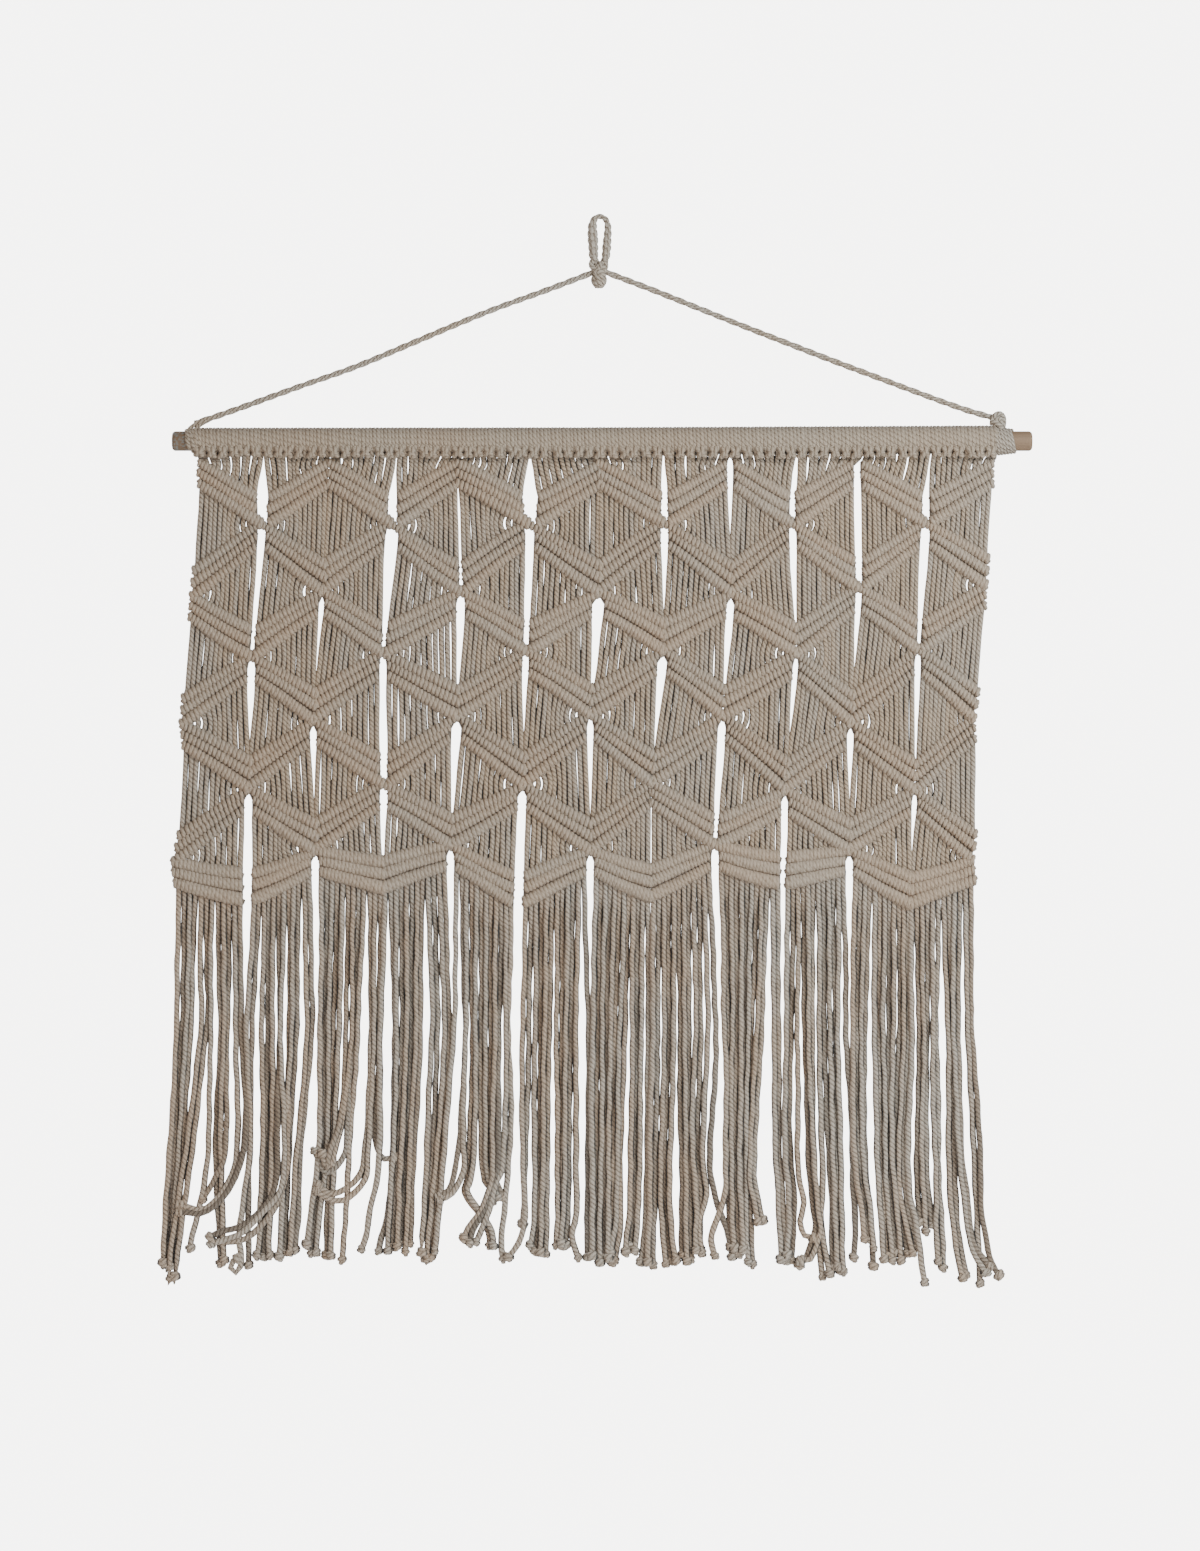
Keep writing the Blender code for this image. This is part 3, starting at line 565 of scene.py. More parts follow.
    def build(self, laying: Laying) -> None:
        """Puts the tree together."""
        graph, given = self.graph, self.given
        curve = graph.add("GeometryNodeMeshToCurve", {0: given["Geometry"]}).outputs[0]
        if laying is Laying.WOUND:
            curve = self.wind(curve)
        curve = self.store(curve, "cord_along", graph.add("GeometryNodeSplineParameter").outputs["Length"])
        profile = graph.add("GeometryNodeCurvePrimitiveCircle",
                            {"Resolution": given["Sides"], "Radius": given["Cord Radius"]})
        turn = graph.math("MULTIPLY", graph.add("GeometryNodeSplineParameter").outputs["Factor"], math.tau)
        circle = graph.add("ShaderNodeCombineXYZ", {0: graph.math("COSINE", turn), 1: graph.math("SINE", turn)})
        section = self.store(profile.outputs[0], "cord_round", circle.outputs[0], "FLOAT_VECTOR")
        tube = graph.add("GeometryNodeCurveToMesh", {"Curve": curve, "Profile Curve": section,
                                                     "Scale": self.attribute("girth"), "Fill Caps": True})
        whole = graph.add("GeometryNodeRealizeInstances", {"Geometry": tube.outputs[0]})
        soft = graph.add("GeometryNodeSetShadeSmooth", {"Geometry": whole.outputs[0], "Shade Smooth": True})
        done = graph.add("GeometryNodeSetMaterial", {"Geometry": soft.outputs[0], "Material": given["Material"]})
        graph.add("NodeGroupOutput", {0: done.outputs[0]})


# ---- finishes ----


class EffectLibrary:
    """The effects that several finishes share, each a shader node group."""

    def __init__(self) -> None:
        self.yarn = self.make_yarn()
        self.mottle = self.make_mottle()
        self.crease_shade = self.make_crease_shade()

    def start(self, name: str, inputs: dict[str, float], outputs: tuple[str, ...]) -> tuple:
        """Opens a group whose sockets all carry numbers.

        Args:
            name: The group's name.
            inputs: The default of each number that goes in, by name.
            outputs: The name of each result.

        Returns:
            The graph, the group's input sockets and its output node.
        """
        tree = bpy.data.node_groups.new(name, "ShaderNodeTree")
        for label, value in inputs.items():
            socket = tree.interface.new_socket(label, in_out="INPUT", socket_type="NodeSocketFloat")
            socket.default_value = value
        for label in outputs:
            tree.interface.new_socket(label, in_out="OUTPUT", socket_type="NodeSocketFloat")
        return Graph(tree), tree.nodes.new("NodeGroupInput").outputs, tree.nodes.new("NodeGroupOutput")

    def attribute(self, graph: Graph, name: str) -> Socket:
        """A cord's own number."""
        return graph.add("ShaderNodeAttribute", attribute_name=name).outputs["Fac"]

    def make_yarn(self) -> bpy.types.NodeTree:
        """Twisted yarns on a cord: a groove mask, which the finishes use for painted shade in the grooves, fine
        fibre streaks, and both as a height.
        """
        graph, given, out = self.start("yarn_twist", {"Yarns": 3.0, "Waves a Metre": 230.0},
                                       ("Groove", "Fibre", "Height"))
        around = graph.add("ShaderNodeAttribute", attribute_name="cord_round").outputs["Vector"]
        run = self.attribute(graph, "cord_along")
        parts = graph.add("ShaderNodeSeparateXYZ", {0: around}).outputs
        angle = graph.math("ARCTAN2", parts[1], parts[0])
        twist = graph.math("MULTIPLY", graph.math("MULTIPLY", run, given["Waves a Metre"]), math.tau)
        wave = graph.math("SINE", graph.math("ADD", graph.math("MULTIPLY", angle, given["Yarns"]), twist))
        groove = graph.math("POWER", graph.math("MULTIPLY_ADD", wave, 0.5, 0.5), 3.0)
        streak = graph.add("ShaderNodeCombineXYZ", {0: graph.math("MULTIPLY", parts[0], 2.4),
                                                    1: graph.math("MULTIPLY", parts[1], 2.4),
                                                    2: graph.math("MULTIPLY", run, 170.0)}).outputs[0]
        fibre = graph.add("ShaderNodeTexNoise", {"Vector": streak, "Scale": 2.2, "Detail": 3.0,
                                                 "Roughness": 0.6}).outputs["Fac"]
        height = graph.math("SUBTRACT", graph.math("MULTIPLY", fibre, 0.5), groove)
        for label, value in (("Groove", groove), ("Fibre", fibre), ("Height", height)):
            graph.put(out.inputs[label], value)
        return graph.tree

    def make_mottle(self) -> bpy.types.NodeTree:
        """Changes of tone: slow ones over the cloth, fine ones, and each cord's own."""
        graph, given, out = self.start("cloth_mottle", {"Slow Scale": 9.0, "Fine Scale": 320.0},
                                       ("Slow", "Fine", "Own"))
        place = graph.add("ShaderNodeTexCoord").outputs["Object"]
        for label in ("Slow", "Fine"):
            noise = graph.add("ShaderNodeTexNoise", {"Vector": place, "Scale": given[f"{label} Scale"],
                                                     "Detail": 2.0, "Roughness": 0.55})
            graph.put(out.inputs[label], noise.outputs["Fac"])
        graph.put(out.inputs["Own"], self.attribute(graph, "tone"))
        return graph.tree

    def make_crease_shade(self) -> bpy.types.NodeTree:
        """A mask of painted shade: a cord's flanks against its neighbours, and where it dives under."""
        graph, given, out = self.start("cord_crease_shade", {"From": 0.5, "To": 0.84, "Flank": 0.8}, ("Mask",))
        facing = graph.add("ShaderNodeNewGeometry").outputs["Normal"]
        side = graph.add("ShaderNodeSeparateXYZ", {0: facing}).outputs[0]
        flank_shade = graph.ramp(graph.math("ABSOLUTE", side), given["From"], given["To"])
        outer = graph.math("MULTIPLY", graph.math("MULTIPLY", side, self.attribute(graph, "open_side")), 6.0)
        flank_shade = graph.math("MULTIPLY", flank_shade, graph.math("SUBTRACT", 1.0, outer, clamp=True), clamp=True)
        place = graph.add("ShaderNodeTexCoord").outputs["Object"]
        stretched = graph.add("ShaderNodeMapping", {"Vector": place, "Scale": (170.0, 60.0, 45.0)}).outputs[0]
        patchy = graph.add("ShaderNodeTexNoise", {"Vector": stretched, "Scale": 1.0, "Detail": 1.0}).outputs["Fac"]
        flank_shade = graph.math("MULTIPLY", flank_shade, graph.ramp(patchy, 0.35, 0.6, 0.35, 1.0))
        flank_shade = graph.math("MULTIPLY", flank_shade, given["Flank"])
        graph.put(out.inputs["Mask"], graph.math("MAXIMUM", flank_shade, self.attribute(graph, "shade")))
        return graph.tree


@dataclass(frozen=True)
class CordFinish:
    """Beige cotton cord: its tones, how strongly the twist shows, and how dark its painted shade is in its yarn
    grooves and on its flanks.
    """

    name: str
    warm: Colour
    cool: Colour
    groove_shade_and_fibre_tone: Colour
    shade_tone: Colour = (0.045, 0.026, 0.015)
    yarns: float = 3.0
    waves_a_metre: float = 230.0
    # How strong the painted shade in the yarns' twist grooves is
    groove: float = 0.35
    flank_shade: float = 0.8
    twill: float = 0.4
    roughness: float = 0.92
    sheen: float = 0.12

    def material(self, effects: EffectLibrary) -> bpy.types.Material:
        """Makes the material.

        Args:
            effects: The shared effects.

        Returns:
            The material.
        """
        made, graph, shader = open_material(self.name)
        yarn = graph.add("ShaderNodeGroup", node_tree=effects.yarn)
        mottle = graph.add("ShaderNodeGroup", node_tree=effects.mottle)
        crease_shade = graph.add("ShaderNodeGroup", node_tree=effects.crease_shade)
        graph.put(yarn.inputs["Yarns"], self.yarns)
        graph.put(yarn.inputs["Waves a Metre"], self.waves_a_metre)
        graph.put(crease_shade.inputs["Flank"], self.flank_shade)
        share = graph.math("ADD", mottle.outputs["Own"], graph.ramp(mottle.outputs["Slow"], 0.3, 0.7, -0.4, 0.4),
                           clamp=True)
        tone = graph.mix(share, self.warm, self.cool)
        # Painted shade in the yarns' twist grooves, plus the speckle and fibre streaks as darker tone, mixed towards
        # the groove colour
        groove = graph.math("MULTIPLY", yarn.outputs["Groove"], self.groove)
        speckle = graph.math("SUBTRACT", mottle.outputs["Fine"], 0.5)
        fibre = graph.math("MULTIPLY", graph.math("SUBTRACT", yarn.outputs["Fibre"], 0.5), 0.8)
        groove = graph.math("ADD", groove, graph.math("ADD", speckle, fibre), clamp=True)
        tone = graph.mix(groove, tone, self.groove_shade_and_fibre_tone)
        # Painted shade: the crease mask darkens the cord to its shade tone on its flanks, under ridges and where it
        # lies behind
        graph.put(shader.inputs["Base Color"], graph.mix(crease_shade.outputs["Mask"], tone, self.shade_tone))
        bump = graph.add("ShaderNodeBump", {"Strength": self.twill, "Distance": 0.001,
                                            "Height": yarn.outputs["Height"]})
        graph.put(shader.inputs["Normal"], bump.outputs[0])
        shader.inputs["Roughness"].default_value = self.roughness
        shader.inputs["Sheen Weight"].default_value = self.sheen
        return made


@dataclass(frozen=True)
class WoodFinish:
    """A bare sawn rod: grain along X, darker towards its left end and mottled there with a weathered grey."""

    name: str
    light: Colour
    dark: Colour
    weathered: Colour
    roughness: float = 0.75

    def material(self) -> bpy.types.Material:
        """Makes the material."""
        made, graph, shader = open_material(self.name)
        place = graph.add("ShaderNodeTexCoord").outputs["Object"]
        stretched = graph.add("ShaderNodeMapping", {"Vector": place, "Scale": (14.0, 420.0, 420.0)}).outputs[0]
        grain = graph.add("ShaderNodeTexNoise", {"Vector": stretched, "Scale": 1.0, "Detail": 5.0,
                                                 "Roughness": 0.65}).outputs["Fac"]
        pores = graph.add("ShaderNodeTexNoise", {"Vector": place, "Scale": 380.0, "Detail": 2.0}).outputs["Fac"]
        across = graph.add("ShaderNodeSeparateXYZ", {0: place}).outputs[0]
        left = graph.ramp(across, -0.36, 0.3, 1.0, 0.0)
        mottle = graph.math("MULTIPLY", left, graph.ramp(pores, 0.45, 0.62))
        tone = graph.mix(graph.math("MULTIPLY", left, 0.6), graph.mix(grain, self.light, self.dark), self.dark)
        graph.put(shader.inputs["Base Color"], graph.mix(mottle, tone, self.weathered))
        bump = graph.add("ShaderNodeBump", {"Strength": 0.3, "Distance": 0.0004, "Height": grain})
        graph.put(shader.inputs["Normal"], bump.outputs[0])
        shader.inputs["Roughness"].default_value = self.roughness
        return made


# ---- making pieces ----


@dataclass
class Guide:
    """A line that cord follows: its points, a winding's hand, the side that no cord lies against, a tone."""

    points: list[RoutePoint]
    hand: float = 1.0
    open_side: float = 0.0
    tone: float = 0.5


@dataclass(frozen=True)
class Carrier:
    """The solids that a piece stands for, and its material slot."""

    nodes: tuple[str, ...]
    slot: str

    def register(self, piece: bpy.types.Object) -> bpy.types.Object:
        """Lets a piece ride on the body and stand for its solids."""
        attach(piece, BODY)
        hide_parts(*self.nodes)
        log.info("%s: %d faces", piece.name, len(piece.data.polygons))
        return piece


class CordMaker:
    """Turns guides into plain cord meshes that ride on the part's body."""

    def __init__(self) -> None:
        self.trees = {way: CordTree(way).tree for way in Laying}

    def guide_mesh(self, name: str, guides: list[Guide]) -> bpy.types.Object:
        """The guides as one object of edges.

        Args:
            name: The name of the piece that the guides are for.
            guides: The guides.

        Returns:
            The object, with what the node tree reads kept on its points.
        """
        places, edges = [], []
        columns = {label: [] for label in ("girth", "shade", "hand", "open_side", "tone")}
        for guide in guides:
            first = len(places)
            for i, point in enumerate(guide.points):
                places.append((point.x * MM, point.y * MM, point.z * MM))
                row = (point.girth, point.shade, guide.hand, guide.open_side, guide.tone)
                for values, value in zip(columns.values(), row):
                    values.append(value)
                if i:
                    edges.append((first + i - 1, first + i))
        mesh = bpy.data.meshes.new(f"{name}_guides")
        mesh.from_pydata(places, edges, [])
        for label, values in columns.items():
            mesh.attributes.new(label, "FLOAT", "POINT").data.foreach_set("value", values)
        return add_object(f"{name}_guides", mesh)

    def lay(self, name: str, guides: list[Guide], laying: Laying, material: bpy.types.Material,
            carrier: Carrier, **sizes: float) -> bpy.types.Object:
        """Lays cord along guides.

        Args:
            name: The piece's name.
            guides: The guides.
            laying: Whether the cord runs along them or winds round them.
            material: The cord's finish.
            carrier: What the piece stands for.
            sizes: Values for the tree's inputs, with underscores in their names.

        Returns:
            The finished piece.
        """
        guide = self.guide_mesh(name, guides)
        modifier = guide.modifiers.new("cord", "NODES")
        modifier.node_group = self.trees[laying]
        values = {key.replace("_", " "): value for key, value in sizes.items()} | {"Material": material}
        for item in modifier.node_group.interface.items_tree:
            if item.in_out == "INPUT" and item.name in values:
                modifier[item.identifier] = values[item.name]
        depsgraph = bpy.context.evaluated_depsgraph_get()
        mesh = bpy.data.meshes.new_from_object(guide.evaluated_get(depsgraph))
        bpy.data.objects.remove(guide)
        return carrier.register(add_object(name, mesh))


# ---- sub-assemblies ----


@dataclass
class KnottedPanel:
    """The bars of double half hitches and the straight cords between them."""

    maker: CordMaker
    cord_material: bpy.types.Material
    bar_material: bpy.types.Material
    layout: Layout = field(default_factory=Layout)
    seed: int = 11

    # A ridge's winding: the radius of its cord and of its coil, its turns, and how even and shaded it is
    wrap_radius: float = 1.95
    ridge_radius: float = 2.65
    wraps: float = 18.0
    unevenness: float = 0.14
    pairing: float = 0.04
    side_shade: float = 0.18

    # A ridge's girth: its share of the room it has, its taper at both ends, and the lowest ridge's extra
    fullness: float = 1.27
    end_taper: float = 0.16
    lowest_extra: float = 0.08
    ridge_girth_chance: float = 0.03
    ridge_parts: int = 8

    # A ridge's place: how far its ends stand out past its column, its depth and its sag
    overhang: float = 2.3
    free_overhang: float = -0.9
    overhang_chance: float = 0.7
    open_slit: float = 2.5
    right_falling_y: float = -0.6
    left_falling_y: float = 0.3
    bar_sag: float = 1.5
    ridge_sag: float = 0.4

    # A straight cord: its bow, widest at a share of the column's width, and its chance shifts
    cord_radius: float = 2.7
    bow: float = 2.2
    bow_middle: float = 0.3
    bow_spread: float = 0.24
    full_bow_length: float = 22.0
    stray: float = 0.5
    top_stray: float = 0.9
    lean: float = 0.35
    depth: float = 0.7
    cord_girth_chance: float = 0.05
    hang_parts: int = 7
    shortest: float = 3.0

    # A straight cord's shade near a bar, and its place and shade where it passes under a ridge
    bar_shade: float = 0.8
    bar_shade_length: float = 5.5
    under_y: float = 0.6
    under_shade: float = 0.65

    # Where the cords start below the rod; the two of a knot stand a little closer to each other
    heading_left: float = -374.8
    heading_pitch: float = 744.0 / CORDS
    heading_chance: float = 0.6
    pair_shift: float = 0.4
    first_z: float = -221.0

    # The (y, z, shade) places of a cord on its way out from under the rod
    WAY_OUT = ((-7.5, -213.0, 0.0), (-4.6, -219.0, 0.2))
    # How far the cords of a triangle bow, as shares of the usual bow
    LOOSENESS = (0.6, 0.9, 1.2, 1.9)

    def reach(self, boundary: int, z: float, dice: random.Random) -> float:
        """How far a ridge's end stands out past its column: less beside an open slit."""
        usual = self.free_overhang if self.layout.slit(boundary, z) > self.open_slit else self.overhang
        return usual + jitter(dice, self.overhang_chance)

    def ridge_guide(self, bar: Bar, ridge: int, sag: float, dice: random.Random) -> Guide:
        """The middle line of one ridge.

        A right-falling bar's lowest ridge runs on over the node at its end, into the next bar's first ridge;
        elsewhere a ridge's ends stand out a little past the column's sides.

        Args:
            bar: The ridge's bar.
            ridge: Its number, from the top.
            sag: How far its middle hangs below the straight line.
            dice: The source of chance.

        Returns:
            The guide.
        """
        start, end = Vector(bar.start(ridge)), Vector(bar.end(ridge))
        way = (end - start).normalized()
        if bar.falls_right and ridge == LOWEST and bar.lower != COLUMNS and bar.row < ROWS - 1:
            end = Vector(self.layout.node(bar.lower, bar.row + 1))
        else:
            end += way * self.reach(bar.lower, end.y, dice)
        if bar.falls_right and ridge == 0 and bar.upper != 0 and bar.row > 0:
            start = Vector(self.layout.node(bar.upper, bar.row))
        else:
            start -= way * self.reach(bar.upper, start.y, dice)
        depth = self.right_falling_y if bar.falls_right else self.left_falling_y
        full = self.ridge_radius + self.wrap_radius
        points = []
        for i in range(self.ridge_parts + 1):
            t = i / self.ridge_parts
            x, z = along(start, end, t)
            rounding = self.fullness - self.end_taper * (2 * t - 1) ** 8 + self.lowest_extra * (ridge == LOWEST)
            girth = bar.half_width(t) / full * rounding + jitter(dice, self.ridge_girth_chance)
            points.append(RoutePoint(x, depth, z - sag * math.sin(math.pi * t), girth))
        return Guide(points, 1.0 if bar.falls_right else -1.0, tone=dice.uniform(0.2, 0.8))

    def wind(self, name: str, row: int, ridges: range, carrier: Carrier, dice: random.Random) -> None:
        """Winds some ridges of a row's bars as one piece.

        Args:
            name: The piece's name.
            row: The row, from the top.
            ridges: The numbers of the ridges.
            carrier: What the piece stands for.
            dice: The source of chance.
        """
        guides = []
        for column in range(COLUMNS):
            bar = self.layout.bar(column, row)
            sag = jitter(dice, self.bar_sag)
            guides += [self.ridge_guide(bar, ridge, sag + jitter(dice, self.ridge_sag), dice) for ridge in ridges]
        self.maker.lay(name, guides, Laying.WOUND, self.bar_material, carrier,
                       Cord_Radius=self.wrap_radius * MM, Sides=6, Turns=self.wraps, Steps_a_Turn=8,
                       Winding_Radius=self.ridge_radius * MM, Unevenness=self.unevenness,
                       Pairing=self.pairing, Side_Shade=self.side_shade, Seed=self.seed)

    def make_bars(self) -> None:
        """Winds the ridges, one piece for each row; the last row's lowest ridge heads the fringe."""
        dice = random.Random(self.seed)
        panel = Carrier(("panel",), "panel_cord")
        fringe = Carrier(tuple(f"fringe_{k + 1}" for k in range(PIECES)), "fringe_cord")
        for row in range(ROWS):
            self.wind(f"bars_row_{row + 1}", row, range(RIDGES if row < ROWS - 1 else LOWEST), panel, dice)
        self.wind("bars_hem", ROWS - 1, range(LOWEST, RIDGES), fringe, dice)

    def hang(self, share: float, upper: Place, lower: Place, apex_left: bool, loose: float, stray: float,
             dice: random.Random) -> list[RoutePoint]:
        """A straight cord between two bars, bowed away from the triangle's apex.

        Args:
            share: Its place across the column, from the left.
            upper: Where it leaves the ridge above, (x, z).
            lower: Where it meets the ridge below, (x, z).
            apex_left: Whether the triangle's apex is on the left.
            loose: How open this triangle's cords hang.
            stray: How far a cord may hang out of line.
            dice: The source of chance.

        Returns:
            The points between the two ridges.
        """
        length = upper[1] - lower[1]
        if length < self.shortest:
            return []
        far = share if apex_left else 1 - share
        push = loose * self.bow * math.exp(-(((far - self.bow_middle) / self.bow_spread) ** 2)) + jitter(dice, stray)
        push *= min(1.0, length / self.full_bow_length) * (1 if apex_left else -1)
        lean, depth = jitter(dice, self.lean), jitter(dice, self.depth)
        points = []
        for i in range(1, self.hang_parts):
            t = i / self.hang_parts
            x, z = along(upper, lower, t)
            arch = math.sin(math.pi * t)
            near = min(upper[1] - z, z - lower[1])
            shade = max(0.0, 1.0 - near / self.bar_shade_length) * self.bar_shade
            x += push * arch + lean * math.sin(2 * math.pi * t)
            points.append(RoutePoint(x, depth * arch, z, 1 + jitter(dice, self.cord_girth_chance), shade))
        return points

    def cord_guide(self, number: int, loose: list[float], dice: random.Random) -> Guide:
        """One cord from under the rod, through all the bars, to the last ridge.

        Args:
            number: The cord's number, from the left.
            loose: How open its column's cords hang, row by row.
            dice: The source of chance.

        Returns:
            The guide.
        """
        column, place, share = place_of(number)
        x = self.heading_left + (number + 0.5) * self.heading_pitch + jitter(dice, self.heading_chance)
        x += self.pair_shift if number % 2 == 0 else -self.pair_shift
        points = [RoutePoint(x, y, z, 1.0, shade) for y, z, shade in self.WAY_OUT]
        upper = (x, self.first_z)
        for row in range(ROWS):
            bar = self.layout.bar(column, row)
            stray = self.top_stray if row == 0 else self.stray
            points += self.hang(share, upper, bar.crossing(0, share), bar.falls_right, loose[row], stray, dice)
            for ridge in range(RIDGES):
                x, z = bar.crossing(ridge, share)
                points.append(RoutePoint(x, self.under_y, z, 1.0, self.under_shade))
            upper = (points[-1].x, points[-1].z)
        return Guide(points, open_side=open_side(place), tone=dice.random())

    def make_cords(self) -> None:
        """Hangs the panel's cords."""
        dice = random.Random(self.seed + 1)
        loose = [[dice.choice(self.LOOSENESS) for _ in range(ROWS)] for _ in range(COLUMNS)]
        guides = [self.cord_guide(number, loose[number // CORDS_PER_COLUMN], dice) for number in range(CORDS)]
        self.maker.lay("panel_cords", guides, Laying.STRAIGHT, self.cord_material,
                       Carrier(("panel",), "panel_cord"), Cord_Radius=self.cord_radius * MM, Sides=8)

    def build(self) -> None:
        """Makes the whole panel."""
        self.make_bars()
        self.make_cords()


@dataclass
class Fringe:
    """The long cords below the last row, with a knot at each end."""

    maker: CordMaker
    material: bpy.types.Material
    layout: Layout = field(default_factory=Layout)
    seed: int = 7
    cord_radius: float = 2.75
    step: float = 7.0

    # Bunches: the height that their middle is given at, their pitch there, and how much of the change to the
    # pitch at the end comes before the last stretch, where they flare out
    middle_z: float = -760.0
    middle_pitch: float = 4.2
    early_pitch: float = 0.35
    flare: float = 14.0
    flare_spread: float = 1.2

    # Chance shifts of single cords, more in a bunch that drifts far enough to cross others
    crossing_drift: float = 18.0
    tangle: float = 3.0
    stray: float = 0.7
    knot_drop: float = 3.5
    end_chance: float = 10.0

    # Depth: the layers that cords lie in, and how far in front the crossing ones end
    layer: float = 2.1
    front: float = -4.4

    # Waves along a cord: its fine ripple, its swing in depth, and the points over which these set in and die out
    ripple: float = 0.35
    ripple_rate: float = 4.3
    depth_swing: float = 0.6
    depth_rate: float = 1.3
    set_in: int = 8
    layer_in: int = 6
    die_out: int = 5
    end_wave: float = 0.2

    # Girth and shade: the growth below the middle, the shade of what lies behind and of the root
    low_length: float = 90.0
    low_growth: float = 0.1
    girth_chance: float = 0.07
    behind_shade: float = 0.6
    upper_shade: float = 0.5
    root_shade_length: float = 9.0

    # End knots
    knot_radius: float = 2.3
    knot_turns: float = 2.0
    knot_unevenness: float = 0.35
    knot_half: float = 3.0
    knot_foot: float = 0.8
    foot_chance: float = 1.2
    foot_girth: float = 0.75

    # Layers of neighbouring cords, as shares of the layer depth
    LAYERS = (-1.0, 1.0, -0.3, 0.7)
    # Ranges that chance draws from: of the shares of the front depth, the swing, half its wave and a knot's girth
    FRONT_SHARES = (0.6, 1.2)
    SWINGS = (0.2, 0.8)
    SWAYS = (60.0, 120.0)
    KNOT_GIRTHS = (0.95, 1.35)

    def routes(self) -> list[tuple[list[Place], float]]:
        """Each cord's (x, z) places below its root, and how far it lies in front, from left to right."""
        dice = random.Random(self.seed)
        found = []
        for bunch in BUNCHES:
            several = bunch.cords > 1
            crosses = abs(bunch.hem - bunch.middle) > self.crossing_drift
            stray = self.tangle if crosses else self.stray
            early = between(self.middle_pitch, bunch.pitch, self.early_pitch)
            for i in range(bunch.cords):
                off = i - (bunch.cords - 1) / 2
                end = (bunch.hem, bunch.end + self.knot_drop + dice.uniform(0, self.end_chance) * several)
                line = [(bunch.middle, self.middle_z), *bunch.via]
                fall = math.dist(line[-1], end)
                if fall > 2 * self.flare:
                    line.append(along(line[-1], end, 1 - self.flare / fall))
                pitches = [self.middle_pitch] + [early] * (len(line) - 1)
                shifts = [off * pitch + jitter(dice, stray) for pitch in pitches]
                route = beside([*line, end], [*shifts, off * bunch.pitch * self.flare_spread])
                found.append((route, self.front * dice.uniform(*self.FRONT_SHARES) if crosses else 0.0))
        return found

    def cord_guide(self, number: int, route: list[Place], front: float, dice: random.Random) -> Guide:
        """One cord from the last ridge to its knot.

        Args:
            number: The cord's number, from the left.
            route: Its (x, z) places below its root.
            front: How far in front of the others it lies at its end.
            dice: The source of chance.

        Returns:
            The guide.
        """
        column, place, share = place_of(number)
        root = self.layout.bar(column, ROWS - 1).crossing(LOWEST, share)
        key = [root, (between(root[0], route[0][0], 0.1), root[1] - 18), along(root, route[0], 0.6), *route]
        layer = self.LAYERS[number % len(self.LAYERS)] * self.layer
        phase, swing, sway = dice.uniform(0, math.tau), dice.uniform(*self.SWINGS), dice.uniform(*self.SWAYS)
        behind = dice.uniform(0, self.behind_shade) if layer > 0 else 0.0
        line = smooth(key, self.step)
        points = []
        for i, at in enumerate(line):
            ease = min(1.0, i / self.set_in) * min(1.0, (len(line) - 1 - i) / self.die_out + self.end_wave)
            settled = min(1.0, i / self.layer_in)
            run = at[1] / sway * math.pi + phase
            x = at[0] + (swing * math.sin(run) + self.ripple * math.sin(run * self.ripple_rate + number)) * ease
            low = min(1.0, max(0.0, (self.middle_z - at[1]) / self.low_length))
            y = between(layer, front, low) if front else layer
            y = y * settled + self.depth_swing * math.cos(run * self.depth_rate) * ease
            girth = 1 + self.low_growth * low + jitter(dice, self.girth_chance)
            shade = max(behind * settled * between(self.upper_shade, 1.0, low),
                        1.0 - (root[1] - at[1]) / self.root_shade_length)
            points.append(RoutePoint(x, y, at[1], girth, shade))
        return Guide(points, open_side=open_side(place), tone=dice.random())

    def knot_guide(self, cord: Guide, dice: random.Random) -> Guide:
        """The short middle line that a cord's end knot winds round.

        Args:
            cord: The cord's guide.
            dice: The source of chance.

        Returns:
            The guide.
        """
        end, before = cord.points[-1], cord.points[-2]
        fall = Vector((end.x - before.x, end.z - before.z)).normalized() * self.knot_half
        size = dice.uniform(*self.KNOT_GIRTHS)
        foot_x = end.x + fall.x * self.knot_foot + jitter(dice, self.foot_chance)
        return Guide([
            RoutePoint(end.x - fall.x, end.y, end.z - fall.y, size),
            RoutePoint(end.x, end.y, end.z, size),
            RoutePoint(foot_x, end.y, end.z + fall.y * self.knot_foot, size * self.foot_girth),
        ], dice.choice((-1.0, 1.0)), tone=cord.tone)

    def build(self) -> None:
        """Makes the six pieces of fringe, and the knots of each."""
        dice = random.Random(self.seed + 3)
        routes = self.routes()
        per_piece = 2 * CORDS_PER_COLUMN
        for piece in range(PIECES):
            numbers = range(piece * per_piece, (piece + 1) * per_piece)
            guides = [self.cord_guide(number, *routes[number], dice) for number in numbers]
            knots = [self.knot_guide(guide, dice) for guide in guides]
            carrier = Carrier((f"fringe_{piece + 1}",), "fringe_cord")
            self.maker.lay(f"fringe_cords_{piece + 1}", guides, Laying.STRAIGHT, self.material, carrier,
                           Cord_Radius=self.cord_radius * MM, Sides=8)
            self.maker.lay(f"fringe_knots_{piece + 1}", knots, Laying.WOUND, self.material, carrier,
                           Cord_Radius=self.knot_radius * MM, Sides=6, Turns=self.knot_turns, Steps_a_Turn=8,
                           Winding_Radius=self.knot_radius * MM, Unevenness=self.knot_unevenness,
                           Seed=self.seed)


